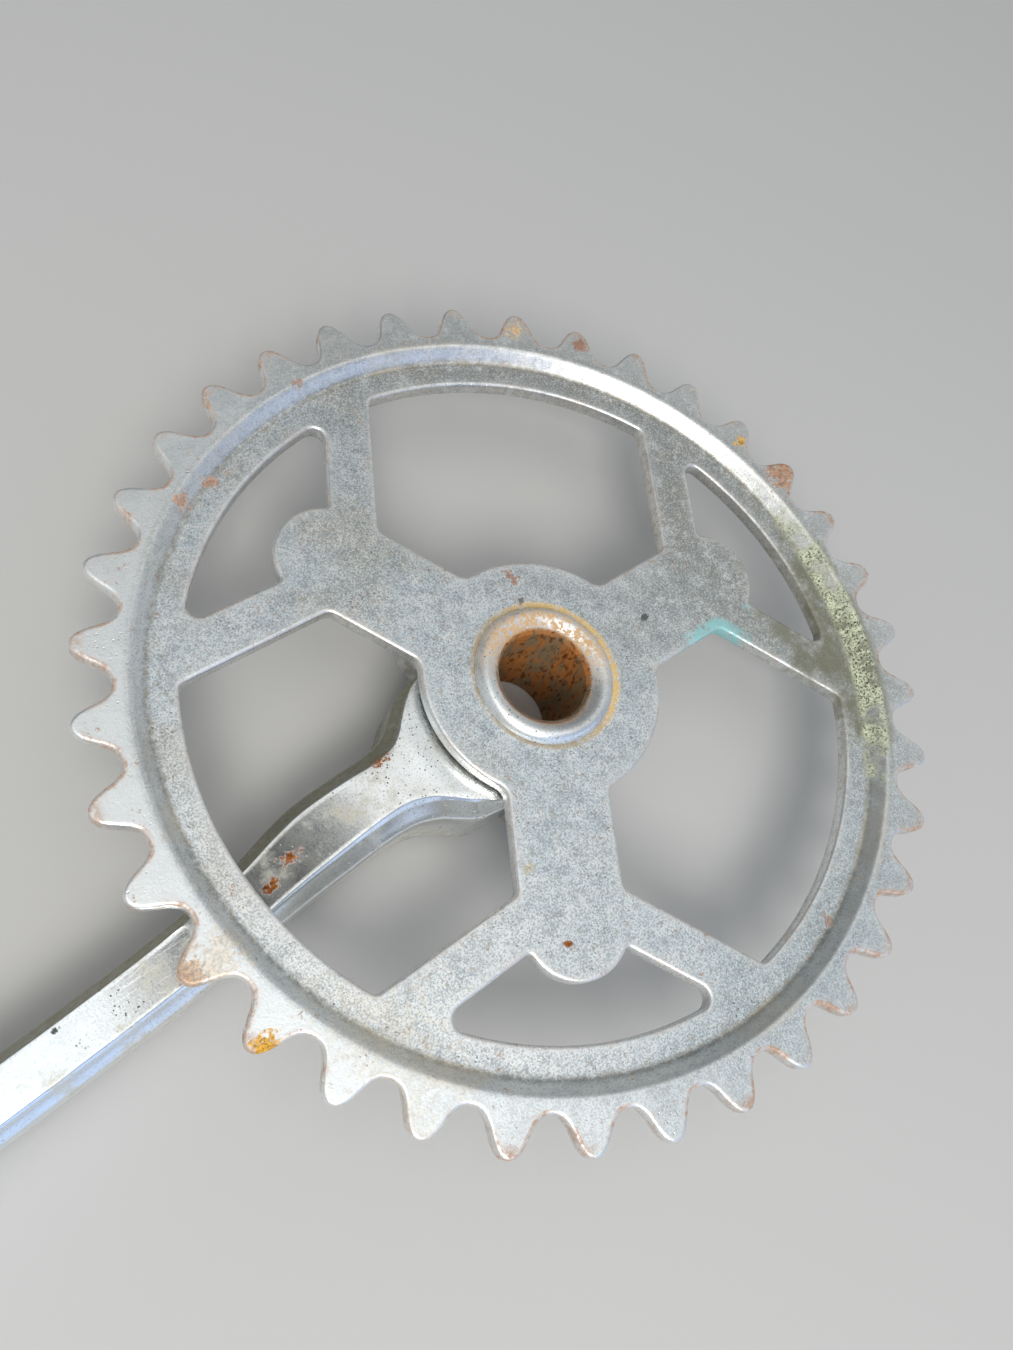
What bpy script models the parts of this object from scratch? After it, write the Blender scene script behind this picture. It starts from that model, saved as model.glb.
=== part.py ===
# Drive-side crank of a bicycle: a pressed 36-tooth chainring swaged on a cottered crank arm.
# It lies with its outboard side on the ground (z = 0), inboard side up, arm along -X.
import bpy
import bmesh
import math
from mathutils import Vector

mm = 0.001

# ---- driving sizes, in millimetres --------------------------------------------------------
chainPitch = 12.7
teeth = 36
pitchRadius = chainPitch / (2 * math.sin(math.pi / teeth))
rootDepth = 3.91                    # pitch circle down to the bottom of a tooth gap
rootRadius = pitchRadius - rootDepth
toothPhase = 2.63                   # degrees, first tooth tip
# height above the root and half width of a tooth, from the gap up to the tip
toothFlank = ((0.12, 5.1), (0.42, 4.45), (0.95, 3.96), (1.9, 3.36), (2.85, 2.98),
              (3.85, 2.54), (4.85, 2.06), (5.7, 1.4), (6.2, 0.7), (6.35, 0.0))
tipRadius = rootRadius + toothFlank[-1][0]

sheet = 2.8                         # chainring steel
bandTop = 25.4                      # top of the toothed band above the ground
dish = 2.4                          # how far the spider lies below the band
webTop = bandTop - dish
dishOuter = 66.3                    # where the band ends and the slope starts
dishInner = 64.4                    # where the slope reaches the spider's plane
rimInner = 59.6
ringHole = 10.75

spiderPhase = -5.4                  # degrees, first spider arm
spiderArms = 3
hubRadius = 21.7
armHalf = 9.0                       # half width of a spider arm
forkAngle = math.radians(60)        # each leg leaves its spider arm at this angle
legNear = 27.3                      # distance of a leg's two edges from the axis
legFar = 35.5
lobeCentre = 41.6
lobeRadius = 9.1
filletHub, filletFork, filletRim, filletWindow, filletNotch = 2.5, 2.0, 1.5, 2.0, 0.7

gap = 0.25                          # left between pieces that touch
axleRadius = 8.0
bossRadius = 16.0
bossTop = webTop - sheet - gap
spigotRadius = ringHole - gap
lipRadius = 12.6
lipHeight = 1.5

crankLength = 152.0                 # axle centre to pedal centre
eyeRadius = 12.5
eyeThickness = 13.0
pedalHoleRadius = 6.7

cotterDrop = 9.3                    # cotter axis to axle axis
cotterRadius = 4.75
cotterHeight = 10.0
cotterFlat = 5.3                    # cotter flat to axle axis
seatHalf = 13.4                     # half width over the two cotter seats

# stations along the arm: distance from the axle, sideways set, half width, top, bottom, bevel
armStations = (
    (3.0, 0.0, seatHalf, 19.0, 2.0, 0.6),
    (16.5, 0.0, seatHalf, 19.0, 2.0, 0.6),
    (20.5, 0.0, 12.8, 19.0, 2.0, 0.9),
    (23.0, 0.0, 11.9, 19.0, 2.0, 1.3),
    (25.5, 0.0, 10.0, 19.0, 2.2, 1.8),
    (28.0, -0.2, 8.3, 18.9, 2.5, 2.2),
    (32.0, -0.7, 7.2, 18.8, 2.9, 2.4),
    (38.0, -1.2, 6.95, 18.6, 3.3, 2.4),
    (46.0, -1.3, 6.9, 18.2, 3.6, 2.4),
    (52.0, -0.9, 6.4, 17.9, 3.7, 2.3),
    (58.0, -0.2, 5.8, 17.5, 3.7, 2.1),
    (66.0, 0.5, 5.45, 17.1, 3.6, 2.0),
    (76.0, 0.9, 5.3, 16.7, 3.4, 1.9),
    (90.0, 0.9, 5.2, 16.2, 3.0, 1.9),
    (105.0, 0.6, 5.15, 15.6, 2.4, 1.9),
    (120.0, 0.3, 5.2, 14.9, 1.6, 1.9),
    (130.0, 0.1, 5.6, 14.3, 1.1, 1.8),
    (137.0, 0.0, 6.9, 13.8, 0.8, 1.7),
    (142.0, 0.0, 8.9, 13.4, 0.6, 1.5),
    (147.0, 0.0, 10.6, 13.0, 0.5, 1.2),
)
bottomChamfer = 1.5

# axle axis: half way the object's length puts the box's centre on the origin
reach = crankLength + eyeRadius
ringReach = tipRadius * math.cos(math.radians(toothPhase))
axleX = (reach - ringReach) / 2

materials = {
    "platedSteel": ((0.48, 0.51, 0.53, 1), 1.0, 0.45),
    "chrome": ((0.72, 0.74, 0.77, 1), 1.0, 0.18),
    "zincSteel": ((0.55, 0.54, 0.50, 1), 1.0, 0.38),
}


# ---- small tools --------------------------------------------------------------------------
def clearScene():
    for obj in list(bpy.data.objects):
        bpy.data.objects.remove(obj, do_unlink=True)


def material(name):
    colour, metallic, roughness = materials[name]
    mat = bpy.data.materials.get(name) or bpy.data.materials.new(name)
    mat.use_nodes = True
    shader = mat.node_tree.nodes["Principled BSDF"]
    shader.inputs["Base Color"].default_value = colour
    shader.inputs["Metallic"].default_value = metallic
    shader.inputs["Roughness"].default_value = roughness
    return mat


def addObject(name, bm, parent):
    bmesh.ops.recalc_face_normals(bm, faces=bm.faces)
    mesh = bpy.data.meshes.new(name)
    bm.to_mesh(mesh)
    bm.free()
    obj = bpy.data.objects.new(name, mesh)
    bpy.context.collection.objects.link(obj)
    obj.parent = parent
    return obj


def finish(obj, matName, sharpAngle=30):
    obj.data.materials.append(material(matName))
    obj.data.shade_smooth()
    obj.data.set_sharp_from_angle(angle=math.radians(sharpAngle))
    return obj


def prism(name, outline, bottom, top, parent):
    """outline: closed list of (x, y) in millimetres"""
    bm = bmesh.new()
    lower = [bm.verts.new((x * mm, y * mm, bottom * mm)) for x, y in outline]
    face = bm.faces.new(lower)
    grown = bmesh.ops.extrude_face_region(bm, geom=[face])
    upper = [g for g in grown["geom"] if isinstance(g, bmesh.types.BMVert)]
    bmesh.ops.translate(bm, verts=upper, vec=(0, 0, (top - bottom) * mm))
    return addObject(name, bm, parent)


def turned(name, profile, segments, parent):
    """profile: closed list of (radius, z) in millimetres, spun round the local Z axis"""
    bm = bmesh.new()
    rings = []
    for radius, z in profile:
        if radius == 0:
            rings.append([bm.verts.new((0, 0, z * mm))])
            continue
        ring = []
        for i in range(segments):
            a = 2 * math.pi * i / segments
            ring.append(bm.verts.new((radius * mm * math.cos(a), radius * mm * math.sin(a), z * mm)))
        rings.append(ring)
    for lower, upper in zip(rings, rings[1:] + rings[:1]):
        for i in range(segments):
            j = (i + 1) % segments
            if len(lower) == 1 and len(upper) == 1:
                continue
            if len(lower) == 1:
                bm.faces.new((lower[0], upper[i], upper[j]))
            elif len(upper) == 1:
                bm.faces.new((lower[i], lower[j], upper[0]))
            else:
                bm.faces.new((lower[i], lower[j], upper[j], upper[i]))
    return addObject(name, bm, parent)


def rod(name, radius, start, end, segments, parent):
    """straight round bar between two points, millimetres"""
    start, end = Vector(start), Vector(end)
    turn = (end - start).to_track_quat("Z", "Y")
    bar = turned(name, ((0, 0), (radius, 0), (radius, (end - start).length),
                        (0, (end - start).length)), segments, parent)
    bar.data.transform(turn.to_matrix().to_4x4())
    for vert in bar.data.vertices:
        vert.co += start * mm
    return bar


def combine(target, tool, operation):
    tool.hide_render = True
    tool.display_type = "WIRE"
    cut = target.modifiers.new(tool.name, "BOOLEAN")
    cut.operation = operation
    cut.solver = "EXACT"
    cut.object = tool


# ---- outlines -----------------------------------------------------------------------------
# an edge is ("line", unit normal, distance, side) or ("arc", centre, radius, side); side is +1
# where the opening lies along the normal or outside the circle, -1 where it lies the other way
def offsetEdge(edge, distance):
    kind, where, size, side = edge
    return kind, where, size + side * distance, side


def crossings(first, second):
    if first[0] == "arc" and second[0] == "line":
        first, second = second, first
    if first[0] == "line" and second[0] == "line":
        n, m = first[1], second[1]
        det = n.x * m.y - n.y * m.x
        return [Vector(((first[2] * m.y - second[2] * n.y) / det,
                        (n.x * second[2] - m.x * first[2]) / det))]
    if first[0] == "line":
        n, d = first[1], first[2]
        foot = n * d + (second[1] - n * n.dot(second[1]))
        half = math.sqrt(second[2] ** 2 - (foot - second[1]).length_squared)
        along = Vector((-n.y, n.x))
        return [foot + along * half, foot - along * half]
    apart = second[1] - first[1]
    d = apart.length
    a = (first[2] ** 2 - second[2] ** 2 + d * d) / (2 * d)
    half = math.sqrt(first[2] ** 2 - a * a)
    foot = first[1] + apart * (a / d)
    along = Vector((-apart.y, apart.x)) / d
    return [foot + along * half, foot - along * half]


def touchPoint(edge, centre, fillet):
    kind, where, size, side = edge
    if kind == "line":
        return centre - where * (side * fillet)
    return where + (centre - where).normalized() * size


def arcPoints(centre, start, end, chordStep):
    a = start - centre
    b = end - centre
    turn = math.atan2(a.x * b.y - a.y * b.x, a.dot(b))
    count = max(2, math.ceil(abs(turn) * a.length / chordStep))
    points = []
    for i in range(count + 1):
        angle = math.atan2(a.y, a.x) + turn * i / count
        points.append(centre + Vector((math.cos(angle), math.sin(angle))) * a.length)
    return points


def roundedOutline(edges, corners, rimStep=2.2):
    """edges in order; corners[i] = (fillet, hint point) between edge i and the next one"""
    touches = []
    for i, (fillet, hint) in enumerate(corners):
        first, second = edges[i], edges[(i + 1) % len(edges)]
        found = crossings(offsetEdge(first, fillet), offsetEdge(second, fillet))
        centre = min(found, key=lambda p: (p - hint).length)
        touches.append((touchPoint(first, centre, fillet), touchPoint(second, centre, fillet), centre))
    outline = []
    for i, (leave, arrive, centre) in enumerate(touches):
        outline += arcPoints(centre, leave, arrive, 0.7)
        edge = edges[(i + 1) % len(edges)]
        following = touches[(i + 1) % len(touches)][0]
        if edge[0] == "arc":
            outline += arcPoints(edge[1], arrive, following, rimStep)[1:-1]
    return [(p.x, p.y) for p in outline]


def turnedBy(outline, degrees):
    c, s = math.cos(math.radians(degrees)), math.sin(math.radians(degrees))
    return [(x * c - y * s, x * s + y * c) for x, y in outline]


def legLine(distance, side, mirror=1, turn=0.0):
    """edge of a fork leg; its spider arm points along +X turned by turn (radians)"""
    a = turn - mirror * (math.pi / 2 - forkAngle)
    return "line", Vector((math.cos(a), math.sin(a))), distance, side


def toothOutline():
    points = []
    for k in range(teeth):
        middle = math.radians(toothPhase + 360 * k / teeth)
        rising = [(rise, -half) for rise, half in toothFlank]
        falling = [(rise, half) for rise, half in reversed(toothFlank[:-1])]
        for rise, half in [(0.0, None)] + rising + falling:
            r = rootRadius + rise
            a = middle - math.pi / teeth if half is None else middle + half / r
            points.append((r * math.cos(a), r * math.sin(a)))
    return points


def bigOpening():
    """opening between the spider arm on +X and the next one"""
    axis = Vector((0, 0))
    step = math.radians(360 / spiderArms)
    side = Vector((0, 1))
    nextSide = Vector((-math.sin(step), math.cos(step)))
    edges = [
        ("arc", axis, hubRadius, 1),
        ("line", side, armHalf, 1),
        legLine(legNear, -1, 1),
        ("arc", axis, rimInner, -1),
        legLine(legNear, -1, -1, step),
        ("line", nextSide, -armHalf, -1),
    ]
    at = lambda r, deg: Vector((r * math.cos(math.radians(deg)), r * math.sin(math.radians(deg))))
    wide = 360 / spiderArms
    corners = [
        (filletHub, at(24, 28)), (filletFork, at(38, 16)), (filletRim, at(58, 34)),
        (filletRim, at(58, wide - 34)), (filletFork, at(38, wide - 16)), (filletHub, at(24, wide - 28)),
    ]
    return roundedOutline(edges, corners)


def smallWindow():
    """window between the two legs and the lobe of the spider arm on +X"""
    axis = Vector((0, 0))
    edges = [
        ("arc", Vector((lobeCentre, 0)), lobeRadius, 1),
        legLine(legFar, 1, 1),
        ("arc", axis, rimInner, -1),
        legLine(legFar, 1, -1),
    ]
    corners = [
        (filletNotch, Vector((47.5, 9))), (filletWindow, Vector((54, 20))),
        (filletWindow, Vector((54, -20))), (filletNotch, Vector((47.5, -9))),
    ]
    return roundedOutline(edges, corners)


# ---- pieces -------------------------------------------------------------------------------
def makeChainring(parent):
    under = webTop - sheet
    shift = sheet * 0.48            # keeps the sheet's thickness on the slope
    blank = tipRadius + 2
    profile = (
        (ringHole, webTop), (dishInner - 0.5, webTop), (dishInner + 0.15, webTop + 0.35),
        (dishOuter - 0.15, bandTop - 0.35), (dishOuter + 0.5, bandTop), (blank, bandTop),
        (blank, bandTop - sheet), (dishOuter + shift + 0.3, bandTop - sheet),
        (dishInner + shift + 0.3, under), (ringHole, under),
    )
    ring = turned("chainring", profile, 96, parent)
    toothed = prism("toothCutter", toothOutline(), under - 5, bandTop + 5, parent)
    combine(ring, toothed, "INTERSECT")
    for k in range(spiderArms):
        phase = spiderPhase + 360 / spiderArms * k
        for label, outline in (("bigOpening", bigOpening()), ("smallWindow", smallWindow())):
            tool = prism(f"{label}Cutter{k}", turnedBy(outline, phase), under - 5, bandTop + 5, parent)
            combine(ring, tool, "DIFFERENCE")
    return finish(ring, "platedSteel")


def armSection(along, sideways, half, top, bottom, bevel):
    # sideways is towards -Y, as seen from the axle with the arm pointing away
    low = bottomChamfer
    shape = (
        (-half + bevel, top), (half - bevel, top), (half, top - bevel * 1.15), (half, bottom + low),
        (half - low, bottom), (-half + low, bottom), (-half, bottom + low), (-half, top - bevel * 1.15),
    )
    return [Vector((-along, -(sideways + v), z)) * mm for v, z in shape]


def makeCrankArm(parent):
    bm = bmesh.new()
    loops = [[bm.verts.new(p) for p in armSection(*station)] for station in armStations]
    for near, far in zip(loops, loops[1:]):
        for i in range(len(near)):
            j = (i + 1) % len(near)
            bm.faces.new((near[i], near[j], far[j], far[i]))
    bm.faces.new(loops[0])
    bm.faces.new(loops[-1])
    bmesh.ops.triangulate(bm, faces=[f for f in bm.faces if len(f.verts) == 4])
    arm = addObject("crank_arm", bm, parent)

    lipTop = webTop + gap + lipHeight
    bossProfile = (
        (0, 0), (bossRadius - 1, 0), (bossRadius, 1), (bossRadius, bossTop - 1),
        (bossRadius - 1, bossTop), (spigotRadius, bossTop), (spigotRadius, webTop + gap),
        (lipRadius - 0.3, webTop + gap), (lipRadius, webTop + gap + 0.5),
        (lipRadius - 0.6, lipTop - 0.3), (lipRadius - 1.5, lipTop), (lipRadius - 2.6, lipTop - 0.15),
        (axleRadius, lipTop - 1.1), (0, lipTop - 1.1),
    )
    boss = turned("bossBody", bossProfile, 64, parent)
    combine(arm, boss, "UNION")

    eyeProfile = (
        (0, 0), (eyeRadius - 0.8, 0), (eyeRadius, 0.8), (eyeRadius, eyeThickness - 0.8),
        (eyeRadius - 0.8, eyeThickness), (0, eyeThickness),
    )
    eye = turned("eyeBody", eyeProfile, 64, parent)
    for vert in eye.data.vertices:
        vert.co.x -= crankLength * mm
    combine(arm, eye, "UNION")

    for side in (1, -1):            # flat seats for the cotter's washer and smooth end
        seat = [(-26, side * seatHalf), (-1, side * seatHalf), (-1, side * 20), (-26, side * 20)]
        combine(arm, prism(f"seatCutter{side}", seat, -5, bossTop + gap / 2, parent), "DIFFERENCE")
    bore = rod("axleBore", axleRadius, (0, 0, -5), (0, 0, webTop + 10), 64, parent)
    combine(arm, bore, "DIFFERENCE")
    pedalHole = rod("pedalHole", pedalHoleRadius, (-crankLength, 0, -5),
                    (-crankLength, 0, eyeThickness + 5), 48, parent)
    combine(arm, pedalHole, "DIFFERENCE")
    cotterHole = rod("cotterHole", cotterRadius + gap, (-cotterDrop, -25, cotterHeight),
                     (-cotterDrop, 25, cotterHeight), 32, parent)
    combine(arm, cotterHole, "DIFFERENCE")
    return finish(arm, "chrome")


cotter = {
    "headOut": 6.0,          # smooth end beyond its seat
    "threadOut": 11.5,       # threaded end beyond the other seat
    "threadRadius": 3.1,
    "washerRadius": 7.6,
    "washerThickness": 1.4,
    "nutThickness": 5.2,
    "nutAcross": 10.0,
}


def makeCotter(parent):
    """the cotter's wedge pin, driven along -Y, with its flat towards the axle"""
    head = seatHalf + cotter["headOut"]
    threadStart = -(seatHalf - 1.0)
    tail = -(seatHalf + cotter["threadOut"])
    pin = rod("cotter_pin", cotterRadius, (-cotterDrop, head, cotterHeight),
              (-cotterDrop, threadStart, cotterHeight), 32, parent)
    thread = rod("cotterThread", cotter["threadRadius"], (-cotterDrop, threadStart + 1, cotterHeight),
                 (-cotterDrop, tail, cotterHeight), 24, parent)
    combine(pin, thread, "UNION")
    # the flat runs from the threaded end and fades out before the smooth end
    depth = 12.0
    flatEnd = seatHalf - 3.0
    flatOutline = (
        (-cotterFlat, threadStart - 1), (-cotterFlat + 0.9, flatEnd + 4), (-cotterFlat + depth, flatEnd + 4),
        (-cotterFlat + depth, threadStart - 1),
    )
    flat = prism("cotterFlatCutter", flatOutline, cotterHeight - 8, cotterHeight + 8, parent)
    combine(pin, flat, "DIFFERENCE")
    finish(pin, "zincSteel")

    seat = -(seatHalf + gap)
    washer = turned("cotter_washer", (
        (cotter["threadRadius"] + gap, 0), (cotter["washerRadius"], 0),
        (cotter["washerRadius"], cotter["washerThickness"]),
        (cotter["threadRadius"] + gap, cotter["washerThickness"])), 40, parent)
    placeOnCotter(washer, seat)
    finish(washer, "zincSteel")

    nutSeat = seat - cotter["washerThickness"] - gap
    corner = cotter["nutAcross"] / math.sqrt(3)
    hexagon = [(corner * math.cos(math.pi / 3 * i), corner * math.sin(math.pi / 3 * i)) for i in range(6)]
    nut = prism("cotter_nut", hexagon, 0, cotter["nutThickness"], parent)
    placeOnCotter(nut, nutSeat)
    hole = rod("nutHole", cotter["threadRadius"] + gap, (-cotterDrop, -40, cotterHeight),
               (-cotterDrop, 0, cotterHeight), 24, parent)
    combine(nut, hole, "DIFFERENCE")
    finish(nut, "zincSteel")


def placeOnCotter(obj, seat):
    """turns a piece made along +Z to point along -Y from the given y on the cotter's axis"""
    for vert in obj.data.vertices:
        x, y, z = vert.co
        vert.co = (x - cotterDrop * mm, seat * mm - z, cotterHeight * mm + y)


def main():
    clearScene()
    axle = bpy.data.objects.new("axleAxis", None)
    axle.empty_display_size = 0.02
    axle.location = (axleX * mm, 0, 0)
    bpy.context.collection.objects.link(axle)
    makeChainring(axle)
    makeCrankArm(axle)
    makeCotter(axle)


main()
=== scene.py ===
import math
import bmesh
import bpy
from mathutils import Matrix, Vector
from mathutils.geometry import delaunay_2d_cdt


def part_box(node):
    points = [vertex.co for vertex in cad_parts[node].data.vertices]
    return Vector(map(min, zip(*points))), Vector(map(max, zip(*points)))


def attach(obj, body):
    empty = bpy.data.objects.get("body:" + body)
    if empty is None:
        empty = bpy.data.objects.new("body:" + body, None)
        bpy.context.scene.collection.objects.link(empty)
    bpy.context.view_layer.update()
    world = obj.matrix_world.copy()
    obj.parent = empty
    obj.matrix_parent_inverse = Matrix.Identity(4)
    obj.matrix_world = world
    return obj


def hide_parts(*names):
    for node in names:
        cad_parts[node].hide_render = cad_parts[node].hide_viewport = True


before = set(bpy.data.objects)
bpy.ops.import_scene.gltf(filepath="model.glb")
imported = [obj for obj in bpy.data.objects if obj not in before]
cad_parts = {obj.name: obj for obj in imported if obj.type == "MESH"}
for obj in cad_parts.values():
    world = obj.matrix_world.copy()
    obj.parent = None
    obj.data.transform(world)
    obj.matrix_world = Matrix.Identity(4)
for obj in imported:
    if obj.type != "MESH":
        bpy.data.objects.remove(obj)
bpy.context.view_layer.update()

mm = 0.001
ringLow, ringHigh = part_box("chainring")
armLow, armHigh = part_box("crank_arm")
axleX = (ringLow.x + ringHigh.x) / 2 / mm      # axle axis, millimetres
bandTop = ringHigh.z / mm                      # inboard face of the toothed band
webUnder = ringLow.z / mm                      # outboard face of the spider


# count + 1 points evenly along a smooth curve through the given ones
def smoothRow(points, count):
    points = [Vector(p) for p in points]
    dense = []
    for i in range(len(points) - 1):
        before = points[max(i - 1, 0)]
        after = points[min(i + 2, len(points) - 1)]
        a, b = points[i], points[i + 1]
        for k in range(24):
            t = k / 24
            dense.append(0.5 * ((2 * a) + (b - before) * t + (2 * before - 5 * a + 4 * b - after) * t ** 2
                                + (3 * a - before - 3 * b + after) * t ** 3))
    dense.append(points[-1])
    lengths = [0.0]
    for a, b in zip(dense, dense[1:]):
        lengths.append(lengths[-1] + (b - a).length)
    row, j = [], 0
    for k in range(count + 1):
        want = lengths[-1] * k / count
        while j < len(lengths) - 2 and lengths[j + 1] < want:
            j += 1
        span = lengths[j + 1] - lengths[j]
        row.append(dense[j].lerp(dense[j + 1], (want - lengths[j]) / span if span else 0))
    return row


def meshObject(name, bm, recalc=True):
    if recalc:
        bmesh.ops.recalc_face_normals(bm, faces=bm.faces)
    mesh = bpy.data.meshes.new(name)
    bm.to_mesh(mesh)
    bm.free()
    obj = bpy.data.objects.new(name, mesh)
    bpy.context.collection.objects.link(obj)
    return obj


# the evaluated object as a plain mesh object; the one with modifiers is removed
def baked(obj, name):
    graph = bpy.context.evaluated_depsgraph_get()
    mesh = bpy.data.meshes.new_from_object(obj.evaluated_get(graph), depsgraph=graph)
    bpy.data.objects.remove(obj, do_unlink=True)
    mesh.name = name
    result = bpy.data.objects.new(name, mesh)
    bpy.context.collection.objects.link(result)
    return result


# from millimetres round the axle to metres in the frame
def moveToAxle(obj):
    obj.data.transform(Matrix.Translation((axleX * mm, 0, 0)) @ Matrix.Scale(mm, 4))
    obj.data.update()


# faces between two closed rows of points, where a single point is a pole
def joinRows(bm, low, high):
    count = max(len(low), len(high))
    for i in range(count):
        j = (i + 1) % count
        corners = [low[i % len(low)], low[j % len(low)], high[j % len(high)], high[i % len(high)]]
        corners = list(dict.fromkeys(corners))
        if len(corners) > 2:
            bm.faces.new(corners)


# profile: (radius, z) from the axis round to the axis again
def turned(name, profile, segments=96, centre=(0, 0)):
    bm = bmesh.new()
    rings = []
    for radius, z in profile:
        steps = 1 if radius == 0 else segments
        rings.append([bm.verts.new((centre[0] + radius * math.cos(2 * math.pi * i / segments),
                                    centre[1] + radius * math.sin(2 * math.pi * i / segments), z))
                      for i in range(steps)])
    for low, high in zip(rings, rings[1:] + rings[:1]):
        joinRows(bm, low, high)
    return meshObject(name, bm)


def combine(target, tool, operation):
    tool.hide_render = True
    tool.hide_viewport = True
    cut = target.modifiers.new(tool.name, "BOOLEAN")
    cut.operation = operation
    cut.solver = "EXACT"
    cut.object = tool


def ride(piece, materialMade, node):
    piece.data.materials.clear()
    piece.data.materials.append(materialMade)
    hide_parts(node)
    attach(piece, "root")


ring = {
    # millimetres from the axle, and degrees
    "chainPitch": 12.7, "teeth": 36, "rootDepth": 3.91, "phase": 2.63,
    # height above the root and half width of a tooth, from the gap up to the tip
    "flank": ((0.0, 6.02), (0.12, 5.1), (0.42, 4.45), (0.95, 3.96), (1.9, 3.36), (2.85, 2.98),
              (3.85, 2.54), (4.85, 2.06), (5.7, 1.4), (6.2, 0.7), (6.34, 0.0)),
    "halfToothPoints": 13,
    "sheet": 2.8, "dish": 2.4, "dishInner": 64.0, "dishOuter": 67.0,
    "rimInner": 59.6, "hole": 10.75, "topEdge": 0.55, "underEdge": 0.3,
    "spiderPhase": -5.4, "arms": 3, "hub": 21.7, "armHalf": 9.0, "forkAngle": 60,
    "legNear": 27.3, "legFar": 35.5, "lobeCentre": 41.6, "lobeRadius": 9.1,
    "bend": 0.32,                               # share of the slope's width that each rounded end takes
    "filletHub": 2.5, "filletFork": 2.0, "filletRim": 1.5, "filletWindow": 2.0, "filletNotch": 0.7,
    "tipWear": 0.35,
}


# the openings' outlines are edges: ("line", unit normal, distance, side) or ("arc", centre, radius,
# side), where side is +1 if the opening lies along the normal or outside the circle, or else -1
def offsetEdge(edge, distance):
    kind, where, size, side = edge
    return kind, where, size + side * distance, side


def crossings(first, second):
    if first[0] == "arc":
        first, second = second, first
    normal, distance = first[1], first[2]
    if second[0] == "line":
        other = second[1]
        det = normal.x * other.y - normal.y * other.x
        return [Vector(((distance * other.y - second[2] * normal.y) / det,
                        (normal.x * second[2] - other.x * distance) / det))]
    foot = normal * distance + (second[1] - normal * normal.dot(second[1]))
    half = math.sqrt(second[2] ** 2 - (foot - second[1]).length_squared)
    along = Vector((-normal.y, normal.x))
    return [foot + along * half, foot - along * half]


def touchPoint(edge, centre, fillet):
    kind, where, size, side = edge
    if kind == "line":
        return centre - where * (side * fillet)
    return where + (centre - where).normalized() * size


def arcPoints(centre, start, end, step):
    a, b = start - centre, end - centre
    turn = math.atan2(a.x * b.y - a.y * b.x, a.dot(b))
    count = max(3, math.ceil(abs(turn) * a.length / step))
    first = math.atan2(a.y, a.x)
    angles = [first + turn * i / count for i in range(count + 1)]
    return [centre + Vector((math.cos(angle), math.sin(angle))) * a.length for angle in angles]


# edges in order; corners[i] = (fillet, hint) between edge i and the next one
def roundedOutline(edges, corners, step):
    touches = []
    for i, (fillet, hint) in enumerate(corners):
        first, second = edges[i], edges[(i + 1) % len(edges)]
        centre = min(crossings(offsetEdge(first, fillet), offsetEdge(second, fillet)),
                     key=lambda p: (p - hint).length)
        touches.append((touchPoint(first, centre, fillet), touchPoint(second, centre, fillet), centre))
    outline = []
    for i, (leave, arrive, centre) in enumerate(touches):
        outline += arcPoints(centre, leave, arrive, 0.3)
        edge = edges[(i + 1) % len(edges)]
        following = touches[(i + 1) % len(touches)][0]
        if edge[0] == "arc":
            outline += arcPoints(edge[1], arrive, following, step)[1:-1]
        else:
            count = max(1, round((following - arrive).length / (step * 2)))
            outline += [arrive.lerp(following, k / count) for k in range(1, count)]
    return outline


def onRay(radius, degrees):
    return Vector((radius * math.cos(math.radians(degrees)), radius * math.sin(math.radians(degrees))))


def legEdge(distance, side, mirror, turn=0.0):
    angle = turn - mirror * (90 - ring["forkAngle"])
    return "line", onRay(1, angle), distance, side


# between the spider arm on +X and the next one
def bigOpening():
    axis, wide = Vector((0, 0)), 360 / ring["arms"]
    edges = [
        ("arc", axis, ring["hub"], 1), ("line", onRay(1, 90), ring["armHalf"], 1),
        legEdge(ring["legNear"], -1, 1), ("arc", axis, ring["rimInner"], -1),
        legEdge(ring["legNear"], -1, -1, wide), ("line", onRay(1, wide + 90), -ring["armHalf"], -1),
    ]
    # each corner's fillet, and a point near the middle of its arc
    corners = [
        (ring["filletHub"], onRay(24, 28)), (ring["filletFork"], onRay(38, 16)),
        (ring["filletRim"], onRay(58, 34)), (ring["filletRim"], onRay(58, wide - 34)),
        (ring["filletFork"], onRay(38, wide - 16)), (ring["filletHub"], onRay(24, wide - 28)),
    ]
    return roundedOutline(edges, corners, 0.8)


# between the two legs and the lobe of the spider arm on +X
def smallWindow():
    edges = [
        ("arc", Vector((ring["lobeCentre"], 0)), ring["lobeRadius"], 1), legEdge(ring["legFar"], 1, 1),
        ("arc", Vector((0, 0)), ring["rimInner"], -1), legEdge(ring["legFar"], 1, -1),
    ]
    corners = [
        (ring["filletNotch"], Vector((47.5, 9))), (ring["filletWindow"], Vector((54, 20))),
        (ring["filletWindow"], Vector((54, -20))), (ring["filletNotch"], Vector((47.5, -9))),
    ]
    return roundedOutline(edges, corners, 0.8)[::-1]


# unit normals to the right of the way the outline runs
def outwardNormals(outline, closed=True):
    normals = []
    last = len(outline) - 1
    for i, point in enumerate(outline):
        before = outline[i - 1] if closed or i else point
        after = outline[(i + 1) % len(outline)] if closed or i < last else point
        along = (after - before).normalized()
        normals.append(Vector((along.y, -along.x)))
    return normals


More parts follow.
